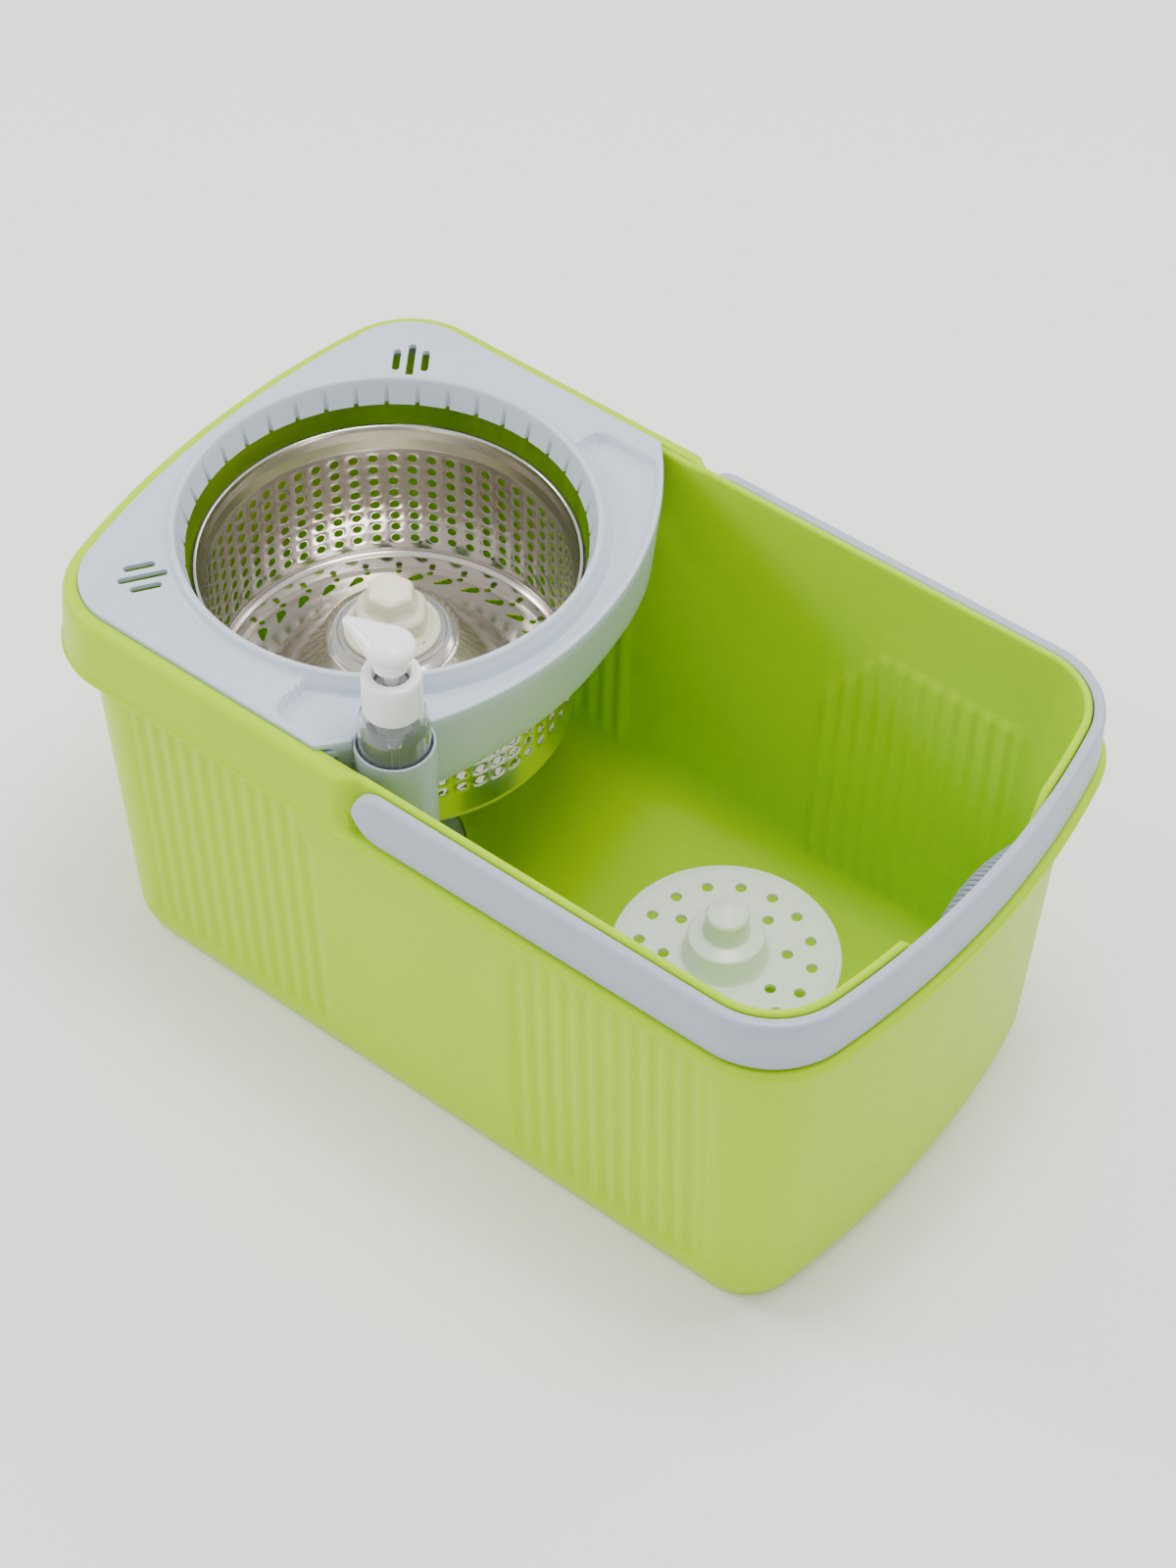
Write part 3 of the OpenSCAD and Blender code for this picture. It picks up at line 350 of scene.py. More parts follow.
def tubMesh():
    rim, ledge = tub["rim"], tub["ledge"]
    outerLow = bowedColumns(base, -tub["bevelOut"])
    outerTop = bowedColumns(bead, 1.5)
    innerLow = bowedColumns(base, -2.4)
    innerTop = bowedColumns(bead, tub["beadWall"])
    count = len(outerLow)
    rows = []          # each row is (columns behind the bail's end, z, columns beside the bail, z)

    def same(columns, z):
        rows.append((columns, z, columns, z))

    def wall(low, top, z, zLow, zTop, panelTop, panelLow, sign):
        t = (z - zLow) / (zTop - zLow)
        out = []
        for (ax, ay), (bx, by) in zip(low, top):
            x, y = mix(ax, bx, t), mix(ay, by, t)
            if abs(y) > 110 and abs(x) < tub["fluteEnd"] + 1:
                y -= math.copysign(fluteRelief(x, z, panelTop, panelLow), y) * sign
            out.append((x, y))
        return out

    same(bowedColumns(base, 9), 1.2)
    same(bowedColumns(base, 7), 0.3)
    same(bowedColumns(base, 6), 0.0)
    same(bowedColumns(base, 1.4), 0.0)
    same(bowedColumns(base, 0.5), 0.35)
    same(bowedColumns(base, 0.0), 1.4)
    same(bowedColumns(base, -1.4), 4.6)
    same(bowedColumns(base, -3.5), 10.6)
    for z in [12.4, 15, 18] + [21 + 3 * i for i in range(61)]:
        same(wall(outerLow, outerTop, z, 12, 238, 212, 20, 1), z)
    # hollow under the skirt: deep behind the bail's ends, shallow under its ledge
    underLeft, underRight = 231.0, 207.6
    high = wall(outerLow, outerTop, underLeft, 12, 238, 212, 20, 1)
    lowWall = wall(outerLow, outerTop, 206.4, 12, 238, 212, 20, 1)
    rows.append((high, underLeft - 3, lowWall, underRight - 0.5))
    rows.append((bowedColumns(bead, 0.6), underLeft, bowedColumns(bead, -0.4), underRight))
    rows.append((bowedColumns(skirtTop, 3.4), underLeft, bowedColumns(skirtLow, 3.0), underRight))
    rows.append((bowedColumns(skirtTop, 2.6), underLeft - 2, bowedColumns(skirtLow, 2.5), underRight - 0.4))
    same(bowedColumns(skirtLow, 2.4), skirtZ + 0.5)
    same(bowedColumns(skirtLow, 2.0), skirtZ)
    same(bowedColumns(skirtLow, 0.0), skirtZ)
    same(bowedColumns(skirtLow, -0.6), skirtZ + 0.3)
    same(bowedColumns(skirtLow, -0.8), skirtZ + 0.9)
    same(bowedColumns(skirtLow, -0.75), skirtZ + 2.0)
    same(bowedColumns(skirtLow, -0.3), skirtZ + 2.6)
    same(bowedColumns(skirtLow, 0.3), skirtZ + 2.9)

    def skirtAt(z, extra=0.0):
        t = min(1, (z - skirtZ) / (rim - tub["rimRound"] - skirtZ))
        return bowedColumns(skirtLow, flare * t + extra)

    pairs = [(210.2, 0, 0.35, ledge - 0.5), (212.5, 0, 1.0, ledge), (215, 0, 2.6, ledge + 0.02),
        (219, 0, 4.4, ledge + 0.04)]
    for zLeft, extra, insetRight, zRight in pairs:
        rows.append((skirtAt(zLeft, extra), zLeft, bowedColumns(skirtLow, insetRight + 0.3), zRight))
    beadRows = [(223, 0.4, ledge + 0.3), (227, 0.05, ledge + 1.2), (231, 0, ledge + 5), (234.5, 0, 224),
        (237, 0, 236)]
    for zLeft, insetRight, zRight in beadRows:
        rows.append((skirtAt(zLeft), zLeft, bowedColumns(bead, insetRight - 0.3 * (zRight < 212)), zRight))
    for k in range(6):
        a = math.radians(18 * k)
        fall = tub["rimRound"] * (1 - math.sin(a))
        outLeft = bowedColumns(skirtTop, tub["rimRound"] * (1 - math.cos(a)))
        outRight = bowedColumns(bead, 2.0 * (1 - math.cos(a)))
        rows.append((outLeft, rim - fall, outRight, rim - 2.4 * (1 - math.sin(a))))
    rows.append((bowedColumns(bead, 0.6), rim, bowedColumns(bead, 2.4), rim))
    rows.append((bowedColumns(bead, 0.9), rim - 0.3, bowedColumns(bead, 3.0), rim - 0.15))
    rows.append((bowedColumns(bead, 0.95), 242.0, bowedColumns(bead, 3.6), rim - 0.6))
    rows.append((bowedColumns(bead, 3.4), 241.9, bowedColumns(bead, 3.95), rim - 1.4))
    rows.append((bowedColumns(bead, 4.0), 241.2, bowedColumns(bead, 4.0), rim - 2.2))
    for z in [239, 236, 230] + [226 - 3 * i for i in range(67)]:
        t = (z - 19) / 225
        same(wall(innerLow, innerTop, z, 19, 244, 186, 24, 1), z)
    for k in range(1, 9):
        a = math.radians(11.25 * k)
        columns = bowedColumns((base[0], base[1], base[2] + 6), -2.4 + 18.4 * (1 - math.cos(a)))
        same(columns, 27 - 24 * math.sin(a))
    same(bowedColumns((base[0], base[1], base[2] + 6), 20), tub["floor"])

    grid = []
    for j in range(count):
        column = []
        for left, zLeft, right, zRight in rows:
            (lx, ly), (rx, ry) = left[j], right[j]
            t = smoothStep(-31.5, -21.5, lx) if left is not right else 0.0
            x, y, z = mix(lx, rx, t), mix(ly, ry, t), mix(zLeft, zRight, t)
            # dip in the rim wall for the fingers
            if x > 200 and z > ledge - 4:
                dip = 1 - smoothStep(37, 58, abs(y))
                floorZ = ledge - 4
                if left is right and z > floorZ:
                    z = mix(z, floorZ + (z - floorZ) * (5.6 / (rim - floorZ)), dip)
                elif t >= 0.5 and z > ledge + 0.6:
                    z = mix(z, ledge + (z - ledge) * (1.6 / (rim - ledge)), dip)
            column.append((x, y, z))
        grid.append(column)
    return skin(grid, capStart=True, capEnd=True)


def tubDetails():
    # cone that carries the wash disc's pin, and the ring and pads that hold the support post
    cone = filleted([(27, 2.9, 0), (23.6, 6, 4), (12.4, 66.5, 1.2), (11.4, 68, 0.8), (4.02, 68, 0)], 6)
    pinBore = [(4.02, 54), (0.0, 54)]
    outer = filleted([(40, 2.9, 0), (37.2, 4, 1.0), (36.8, 10, 1), (34.4, 10, 0.6), (34.3, 5.1, 0),
        (0, 5, 0)], 4)
    return [lathe(cone + pinBore, discX, segments=80), lathe(outer, basketX, segments=96)]


addPiece("tubShell", makeMesh("tubShell", [tubMesh()] + tubDetails(), 50), limePlastic, "tub",
    "base")
print("tub made")


bail = {"height": 30.5, "thickness": 6.0, "gap": 0.6, "endSteps": 14, "topOuterRound": 2.8,
    "otherRound": 1.2}


def bandLoop(half):
    near, far = bail["gap"], bail["gap"] + bail["thickness"]
    small, large = min(bail["otherRound"], half * 0.9), min(bail["topOuterRound"], half * 0.95)
    middle = (near + far) / 2
    loop = [(middle, -half)]
    for a, b, radius, start in [(near, -half, small, -90), (near, half, small, 180), (far, half, large, 90),
            (far, -half, large * 0.7, 0)]:
        cornerA = a + radius * (1 if a == near else -1)
        cornerB = b - math.copysign(radius, b)
        for k in range(6):
            turn = math.radians(start - 18 * k)
            loop.append((cornerA + radius * math.cos(turn), cornerB + radius * math.sin(turn)))
    return loop


def bailMesh():
    pivot, half = tub["pivotX"], bail["height"] / 2
    path = []
    for i in range(bail["endSteps"] + 1):
        a = math.radians(4 + 86 * i / bail["endSteps"])
        path.append((pivot - half * math.cos(a), half * math.sin(a)))
    path += [(x, half) for x in range(0, 180, 12)]
    grid = []

    def offsetColumn(pick, h):
        out = []
        for d, v in bandLoop(h):
            x, y = pick(d)
            out.append((x, y, tub["pivotZ"] + v))
        return out

    for x, h in path:
        grid.append(offsetColumn(lambda d: (x, -(bead[1] / 2 + d)), h))
    ends = 2 * tub["cornerSteps"] + tub["bowSteps"] + 1
    outlines = {}
    for k in range(ends):
        def pick(d, k=k):
            if d not in outlines:
                outlines[d] = bowedColumns(bead, -d)
            return outlines[d][k]
        grid.append(offsetColumn(pick, half))
    for x, h in reversed(path):
        grid.append(offsetColumn(lambda d: (x, bead[1] / 2 + d), h))
    points, faces = skin(grid, closedRows=True, closedColumns=False)
    rows = len(grid[0])
    faces = [tuple(reversed(f)) for f in faces]
    faces.append(list(range(rows)))
    faces.append([len(points) - rows + i for i in reversed(range(rows))])
    return points, faces


def pivotStubs():
    made = []
    for side in (-1, 1):
        start, end = side * (bead[1] / 2 - 2.85), side * (bead[1] / 2 + 1.2)
        points, faces = lathe([(0, 0), (4.6, 0), (5.0, 0.5), (5.0, 4.05), (0, 4.05)], segments=48)
        turned = [(tub["pivotX"] + a, start + side * h, tub["pivotZ"] + b) for a, b, h in points]
        made.append((turned, faces if side < 0 else [tuple(reversed(f)) for f in faces]))
    return made


bailPiece = makeMesh("bailBand", [bailMesh()] + pivotStubs(), 50)
addPiece("bailBand", bailPiece, bailPlastic, "bail_handle", "bail")

grip = {"length": 68.0, "out": 9.5, "ribs": 20, "radius": 13.0, "endRadius": 8.6, "ribHeight": 1.7}


def gripMesh():
    axisX = bead[0] / 2 + bail["gap"] - grip["out"] + grip["radius"]
    perRib, across = 9, 26
    total = grip["ribs"] * perRib
    grid = []
    for i in range(total + 1):
        y = -grip["length"] / 2 + grip["length"] * i / total
        curve = math.cos(y / grip["length"] * math.pi)
        radius = mix(grip["endRadius"], grip["radius"], curve)
        wave = (0.5 - 0.5 * math.cos(2 * math.pi * i / perRib)) ** 0.7
        radius += grip["ribHeight"] * (wave - 1)
        bandX = bead[0] / 2 + bail["gap"] - y * y / (2 * tub["bow"]) + 1.2
        limit = math.acos(min(0.98, max(0.02, (axisX - bandX) / radius)))
        grid.append([(axisX - radius * math.cos(a), y, tub["pivotZ"] + radius * math.sin(a))
            for a in [limit * (2 * k / across - 1) for k in range(across + 1)]])
    points, faces = skin(grid, closedRows=True, closedColumns=False)
    faces = [tuple(reversed(f)) for f in faces]
    size = across + 1
    faces.append(list(range(size)))
    faces.append([len(points) - size + i for i in reversed(range(size))])
    return points, faces


def shadeValleys(material):
    # soft shade in the valleys between the ribs
    tree = material.node_tree
    shader = next(n for n in tree.nodes if n.type == "BSDF_PRINCIPLED")
    tone = shader.inputs["Base Color"].links[0].from_socket
    place = addNode(tree, "ShaderNodeTexCoord").outputs["Object"]
    along = addNode(tree, "ShaderNodeSeparateXYZ", {"Vector": place}).outputs["Y"]
    pitch = grip["length"] / grip["ribs"] * mm
    phase = addNode(tree, "ShaderNodeMath", {0: along, 1: 2 * math.pi / pitch}, operation="MULTIPLY")
    wave = addNode(tree, "ShaderNodeMath", {0: phase.outputs[0]}, operation="COSINE")
    shade = addNode(tree, "ShaderNodeMapRange", {"Value": wave.outputs[0], "From Min": -0.2,
        "From Max": 0.9,
        "To Min": 0.0, "To Max": 0.75})
    darker = addNode(tree, "ShaderNodeMix", {"Factor": shade.outputs["Result"]}, data_type="RGBA")
    tree.links.new(tone, darker.inputs["A"])
    darker.inputs["B"].default_value = linearColour("4E5662")
    tree.links.new(darker.outputs["Result"], shader.inputs["Base Color"])


shadeValleys(gripPlastic)
addPiece("ribbedGrip", makeMesh("ribbedGrip", [gripMesh()], 60), gripPlastic, "handle_grip", "bail")
print("bail made")


deck = {
    "face": 245.5, "edgeIn": 1.4, "foot": 109.6, "recess": 5.5, "frontRadius": 189.8, "frontX": 3.6,
    "apron": 50.0, "plate": 2.6, "notches": 40, "cup": 19.4, "recessSideFar": 119.5,
    "recessSideNear": 127.5,
    "recessLeft": -81.0, "slots": (25.0, 16.0), "slotWidth": 4.0}
frontCentre = deck["frontX"] - deck["frontRadius"]


def insideDeck(x, y):
    half = bead[1] / 2 - deck["edgeIn"]
    corner, bow = bead[2] - deck["edgeIn"], tub["bow"]
    length = bead[0] / 2 - deck["edgeIn"]
    cornerY, bowX = half - corner, length - bow
    cornerX = bowX + math.sqrt((bow - corner) ** 2 - cornerY ** 2)
    if abs(y) > half or math.hypot(x - frontCentre, y) > deck["frontRadius"]:
        return False
    if math.hypot(abs(x) - bowX, y) > bow:
        return False
    if abs(x) > cornerX and abs(y) > cornerY:
        return math.hypot(abs(x) - cornerX, abs(y) - cornerY) < corner
    return True


def deckReach(angle):
    low, high = 105.0, 200.0
    for _ in range(30):
        middle = (low + high) / 2
        if insideDeck(basketX + middle * math.cos(angle), middle * math.sin(angle)):
            low = middle
        else:
            high = middle
    return low


def deckHeight(x, y):
    # depth of the sunken band that runs round the front of the collar
    side = deck["recessSideFar"] if y > 0 else deck["recessSideNear"]
    blendRadius = 9.0
    dx, dy = deck["recessLeft"] + blendRadius - x, abs(y) - side + blendRadius
    box = min(max(dx, dy), 0) + math.hypot(max(dx, 0), max(dy, 0)) - blendRadius
    collar = deck["foot"] - 0.4 - math.hypot(x - basketX, y)
    front = math.hypot(x - frontCentre, y) - deck["frontRadius"] + 3.2
    distance = max(box, collar, front)
    return deck["face"] - deck["recess"] * (1 - smoothStep(-2.0, 0.7, distance))


def deckMesh():
    face = deck["face"]
    offsets = [0, 0.25, 0.5, 0.8, 1.2, 1.9, 2.7, 3.5, 4.2]
    sector = 360 / deck["notches"]
    angles = []
    for i in range(deck["notches"]):
        centre = sector * (i + 0.5)
        angles += [centre + s * o for o in offsets for s in (-1, 1) if not (o == 0 and s < 0)]
    angles = sorted(math.radians(a) for a in angles)
    grid = []
    for angle in angles:
        reach = deckReach(angle)
        ca, sa = math.cos(angle), math.sin(angle)
        degrees = math.degrees(angle) % sector - sector / 2
        notch = 1 - smoothStep(0.2, 0.8, abs(degrees))

        def at(r, z):
            return (basketX + r * ca, r * sa, z)

        edgeX, edgeY = basketX + reach * ca, reach * sa
        onFront = edgeX > -60 and math.hypot(edgeX - frontCentre, edgeY) > deck["frontRadius"] - 0.05
        front = (1 - smoothStep(124.5, 127.5, abs(edgeY))) if onFront else 0.0
        column = []
        # funnel and collar, from its foot up and over
        for r, z, deep in [(101.6, 235.0, 1), (99.9, 235.0, 1), (99.4, 235.4, 1), (100.3, 238.5, 0.85),
                (101.3, 242, 0.4), (102.2, 245.2, 0.05), (102.9, 247.6, 0), (103.3, 248.9, 0),
                (103.8, 249.7, 0),
                (104.6, 250.0, 0), (105.4, 250.0, 0), (106.3, 249.6, 0), (106.9, 248.8, 0), (107.6, 247, 0),
                (108.3, 246.0, 0)]:
            column.append(at(r + 2.3 * notch * deep, z))
        steps = 56
        last = reach - 1.3
        for k in range(steps + 1):
            t = k / steps
            r = mix(109.3, last, t)
            z = deckHeight(basketX + r * ca, r * sa)
            if k == 0:
                z = min(z, face - 0.15)
            column.append(at(r, z))
        top = column[-1][2]
        column.append(at(reach - 0.55, top - 0.15))
        column.append(at(reach - 0.12, top - 0.6))
        column.append(at(reach, top - 1.3))
        column.append(at(reach, mix(242.2, min(top - 3, 240.0), front)))
        lean = 8.5 * (1 - 0.55 * smoothStep(30, 100, abs(edgeY)))
        foot = mix(228.0, face - deck["apron"], front)
        start = mix(241.9, 238.0, front)
        inset = mix(4.6, 0.4, front)
        for t in (0, 0.1, 0.35, 0.6, 0.85, 0.97):
            column.append(at(reach - inset - lean * front * t, mix(start, foot, t)))
        column.append(at(reach - inset - 0.4 - lean * front, foot))
        column.append(at(reach - inset - 1.8 - lean * front, foot))
        column.append(at(reach - inset - 2.2 - lean * front * 0.97, foot + 0.4))
        column.append(at(reach - inset - 2.3 - lean * front * 0.5, mix(foot, start, 0.5)))
        column.append(at(reach - inset - 2.5, min(start - 1, top - deck["plate"] - 0.6)))
        for k in range(10):
            t = k / 9
            r = mix(reach - inset - 3.4, 110.5, t)
            r = max(r, 106.0)
            column.append(at(r, deckHeight(basketX + r * ca, r * sa) - deck["plate"]))
        column.append(at(104.9, 243.0))
        column.append(at(103.8, 240.0))
        grid.append(column)
    points, faces = skin(grid, closedRows=True)
    return points, [tuple(reversed(f)) for f in faces]


def capsule(x, y, angle, length, width, low, high):
    half, r = (length - width) / 2, width / 2
    ring = []
    for k in range(13):
        a = math.pi * (-0.5 + k / 12)
        ring.append((half + r * math.cos(a), r * math.sin(a)))
    ring += [(-u, -v) for u, v in ring]
    ca, sa = math.cos(angle), math.sin(angle)
    grid = [[(x + u * ca - v * sa, y + u * sa + v * ca, z) for z in (low, high)] for u, v in ring]
    return skin(grid, capStart=True, capEnd=True)


def cutWith(mesh, cutters):
    holder = bpy.data.objects.new("cutHolder", mesh)
    tool = bpy.data.objects.new("cutTool", makeMesh("cutTool", cutters))
    for o in (holder, tool):
        bpy.context.scene.collection.objects.link(o)
    cut = holder.modifiers.new("cut", "BOOLEAN")
    cut.object, cut.operation, cut.solver = tool, "DIFFERENCE", "EXACT"
    done = bpy.data.meshes.new_from_object(holder.evaluated_get(bpy.context.evaluated_depsgraph_get()))
    for o in (holder, tool):
        bpy.data.objects.remove(o)
    done.shade_smooth()
    done.set_sharp_from_angle(angle=math.radians(42))
    return done


deckCutters = [lathe([(0, 150), (deck["cup"] + 0.3, 150), (deck["cup"] + 0.3, 300), (0, 300)],
    bottleX, bottleY, 64)]
for side in (-1, 1):
    angle = side * math.radians(124.5)
    for i in (-1, 0, 1):
        length = deck["slots"][0] if i == 0 else deck["slots"][1]
        u, v = 122.0, i * 7.4
        x = basketX + u * math.cos(angle) - v * math.sin(angle)
        y = u * math.sin(angle) + v * math.cos(angle)
        deckCutters.append(capsule(x, y, angle, length, deck["slotWidth"], 236, 252))
web = capsule(-49.0, -116.5, math.pi / 2, 25.0, 13.0, 236.6, 239.9)
deckPiece = cutWith(makeMesh("deckPlate", [deckMesh()], 42), deckCutters)
deckPiece = makeMesh("deckPlate", [deckPiece, web], 42)
addPiece("deckPlate", deckPiece, deckPlastic, "deck", "deck")

cupProfile = filleted([(0, 177, 0), (19.4, 177, 2.5), (19.4, 243, 0.65), (18.0, 243, 0.6), (18.0, 179, 2),
    (0, 179, 0)], 5)
cupMesh = makeMesh("bottleHolder", [lathe(cupProfile, bottleX, bottleY, 80)], 45)
addPiece("bottleHolder", cupMesh, cupPlastic, "bottle_cup", "deck")
print("deck made")


def startTree(name, values):
    tree = bpy.data.node_groups.new(name, "GeometryNodeTree")
    tree.interface.new_socket("Geometry", in_out="INPUT", socket_type="NodeSocketGeometry")
    for label, value in values.items():
        kind = "NodeSocketMaterial" if label == "Material" else (
            "NodeSocketInt" if isinstance(value, int) else "NodeSocketFloat")
        tree.interface.new_socket(label, in_out="INPUT", socket_type=kind)
    tree.interface.new_socket("Geometry", in_out="OUTPUT", socket_type="NodeSocketGeometry")
    return tree, addNode(tree, "NodeGroupInput").outputs


def finishTree(tree, geometry, material):
    made = addNode(tree, "GeometryNodeSetMaterial", {"Geometry": geometry, "Material": material})
    addNode(tree, "NodeGroupOutput", {"Geometry": made.outputs[0]})


def runTree(name, mesh, tree, values, thickness):
    # the modifiers' result becomes a plain mesh
    holder = bpy.data.objects.new(name, mesh)
    bpy.context.scene.collection.objects.link(holder)
    nodesModifier = holder.modifiers.new(name, "NODES")
    nodesModifier.node_group = tree
    for item in tree.interface.items_tree:
        if item.in_out == "INPUT" and item.name in values:
            nodesModifier[item.identifier] = values[item.name]
    thicken = holder.modifiers.new("sheet", "SOLIDIFY")
    thicken.thickness, thicken.offset = thickness * mm, -1.0     # the sheet grows inward
    done = bpy.data.meshes.new_from_object(holder.evaluated_get(bpy.context.evaluated_depsgraph_get()))
    bpy.data.objects.remove(holder)
    return done


basket = {
    "radius": 92.5, "sheet": 0.8, "columns": 57, "rows": 8,
    "pitch": 8.1, "hole": 5.4, "firstRow": 148.5, "lip": 0.22, "domeRadius": 62.5, "drops": 32,
    "ringInner": 66.0, "ringOuter": 87.6}


def holeTile(width, height, holeRadius, lip):
    # one square of sheet round one punched hole, with the faint raised edge that the punch leaves
    points, faces = [], []
    border = []
    for k in range(16):
        a = 2 * math.pi * (k + 0.5) / 16
        ca, sa = math.cos(a), math.sin(a)
        reach = 1 / max(abs(ca) , abs(sa))
        border.append((ca * reach * width / 2, sa * reach * height / 2))
    for u, v in border:
        points.append((u, v, 0.0))
    for radius, out in [(holeRadius + 1.0, 0.0), (holeRadius + 0.35, lip), (holeRadius, lip * 0.6)]:
        for k in range(16):
            a = 2 * math.pi * (k + 0.5) / 16
            points.append((radius * math.cos(a), radius * math.sin(a), out))
    for ring in range(3):
        for k in range(16):
            n = (k + 1) % 16
            faces.append((ring * 16 + k, ring * 16 + n, ring * 16 + 16 + n, ring * 16 + 16 + k))
    # a triangle fills each corner of the square
    base = len(points)
    for q, (su, sv) in enumerate([(1, 1), (-1, 1), (-1, -1), (1, -1)]):
        points.append((su * width / 2, sv * height / 2, 0.0))
        a, b = (q * 4 + 1) % 16, (q * 4 + 2) % 16
        faces.append((a, base + q, b))
    return points, faces


def wallTree():
    values = {"Columns": 1, "Rows": 1, "Pitch": 1.0, "Radius": 1.0, "Start": 1.0, "Material": None}
    tree, given = startTree("basketPerforation", values)
    circle = addNode(tree, "ShaderNodeMath", {0: given["Radius"], 1: 2 * math.pi}, operation="MULTIPLY")
    step = addNode(tree, "ShaderNodeMath", {0: circle.outputs[0], 1: given["Columns"]}, operation="DIVIDE")
    wide = addNode(tree, "ShaderNodeMath", {0: circle.outputs[0], 1: step.outputs[0]}, operation="SUBTRACT")
    fewer = addNode(tree, "ShaderNodeMath", {0: given["Rows"], 1: 1.0}, operation="SUBTRACT")
    tall = addNode(tree, "ShaderNodeMath", {0: fewer.outputs[0], 1: given["Pitch"]}, operation="MULTIPLY")
    grid = addNode(tree, "GeometryNodeMeshGrid", {"Size X": wide.outputs[0], "Size Y": tall.outputs[0],
        "Vertices X": given["Columns"], "Vertices Y": given["Rows"]})
    tiles = addNode(tree, "GeometryNodeInstanceOnPoints", {"Points": grid.outputs["Mesh"],
        "Instance": given["Geometry"]})
    whole = addNode(tree, "GeometryNodeRealizeInstances", {"Geometry": tiles.outputs[0]})
    place = addNode(tree, "GeometryNodeInputPosition")
    parts = addNode(tree, "ShaderNodeSeparateXYZ", {"Vector": place.outputs[0]})
    turn = addNode(tree, "ShaderNodeMath", {0: parts.outputs["X"], 1: given["Radius"]}, operation="DIVIDE")
    out = addNode(tree, "ShaderNodeMath", {0: parts.outputs["Z"], 1: given["Radius"]}, operation="ADD")
    cosine = addNode(tree, "ShaderNodeMath", {0: turn.outputs[0]}, operation="COSINE")
    sine = addNode(tree, "ShaderNodeMath", {0: turn.outputs[0]}, operation="SINE")
    x = addNode(tree, "ShaderNodeMath", {0: out.outputs[0], 1: cosine.outputs[0]}, operation="MULTIPLY")
    y = addNode(tree, "ShaderNodeMath", {0: out.outputs[0], 1: sine.outputs[0]}, operation="MULTIPLY")
    halfTall = addNode(tree, "ShaderNodeMath", {0: tall.outputs[0], 1: 0.5}, operation="MULTIPLY")
    lift = addNode(tree, "ShaderNodeMath", {0: given["Start"], 1: halfTall.outputs[0]}, operation="ADD")
    z = addNode(tree, "ShaderNodeMath", {0: parts.outputs["Y"], 1: lift.outputs[0]}, operation="ADD")
    wrapped = addNode(tree, "ShaderNodeCombineXYZ", {"X": x.outputs[0], "Y": y.outputs[0],
        "Z": z.outputs[0]})
    bent = addNode(tree, "GeometryNodeSetPosition", {"Geometry": whole.outputs[0],
        "Position": wrapped.outputs[0]})
    closed = addNode(tree, "GeometryNodeMergeByDistance", {"Geometry": bent.outputs[0],
        "Distance": mergeGap})
    finishTree(tree, closed.outputs[0], given["Material"])
    return tree


def turnTree():
    # repeats one sector round the axis and leans it into a shallow cone
    values = {"Count": 1, "Start": 1.0, "Slope": 1.0, "Outer": 1.0, "Material": None}
    tree, given = startTree("sectorRound", values)
    points = addNode(tree, "GeometryNodePoints", {"Count": given["Count"]})
    index = addNode(tree, "GeometryNodeInputIndex")
    share = addNode(tree, "ShaderNodeMath", {0: index.outputs[0], 1: given["Count"]}, operation="DIVIDE")
    turn = addNode(tree, "ShaderNodeMath", {0: share.outputs[0], 1: 2 * math.pi}, operation="MULTIPLY")
    spin = addNode(tree, "ShaderNodeCombineXYZ", {"Z": turn.outputs[0]})
    sectors = addNode(tree, "GeometryNodeInstanceOnPoints", {"Points": points.outputs[0],
        "Instance": given["Geometry"], "Rotation": spin.outputs[0]})
    whole = addNode(tree, "GeometryNodeRealizeInstances", {"Geometry": sectors.outputs[0]})
    place = addNode(tree, "GeometryNodeInputPosition")
    parts = addNode(tree, "ShaderNodeSeparateXYZ", {"Vector": place.outputs[0]})
    flat = addNode(tree, "ShaderNodeCombineXYZ", {"X": parts.outputs["X"], "Y": parts.outputs["Y"]})
    radius = addNode(tree, "ShaderNodeVectorMath", {0: flat.outputs[0]}, operation="LENGTH")
    inward = addNode(tree, "ShaderNodeMath", {0: given["Outer"], 1: radius.outputs["Value"]},
        operation="SUBTRACT")
    rise = addNode(tree, "ShaderNodeMath", {0: inward.outputs[0], 1: given["Slope"]}, operation="MULTIPLY")
    lift = addNode(tree, "ShaderNodeMath", {0: rise.outputs[0], 1: given["Start"]}, operation="ADD")
    up = addNode(tree, "ShaderNodeCombineXYZ", {"Z": lift.outputs[0]})
    raised = addNode(tree, "GeometryNodeSetPosition", {"Geometry": whole.outputs[0],
        "Offset": up.outputs[0]})
    closed = addNode(tree, "GeometryNodeMergeByDistance", {"Geometry": raised.outputs[0],
        "Distance": mergeGap})
    finishTree(tree, closed.outputs[0], given["Material"])
    return tree


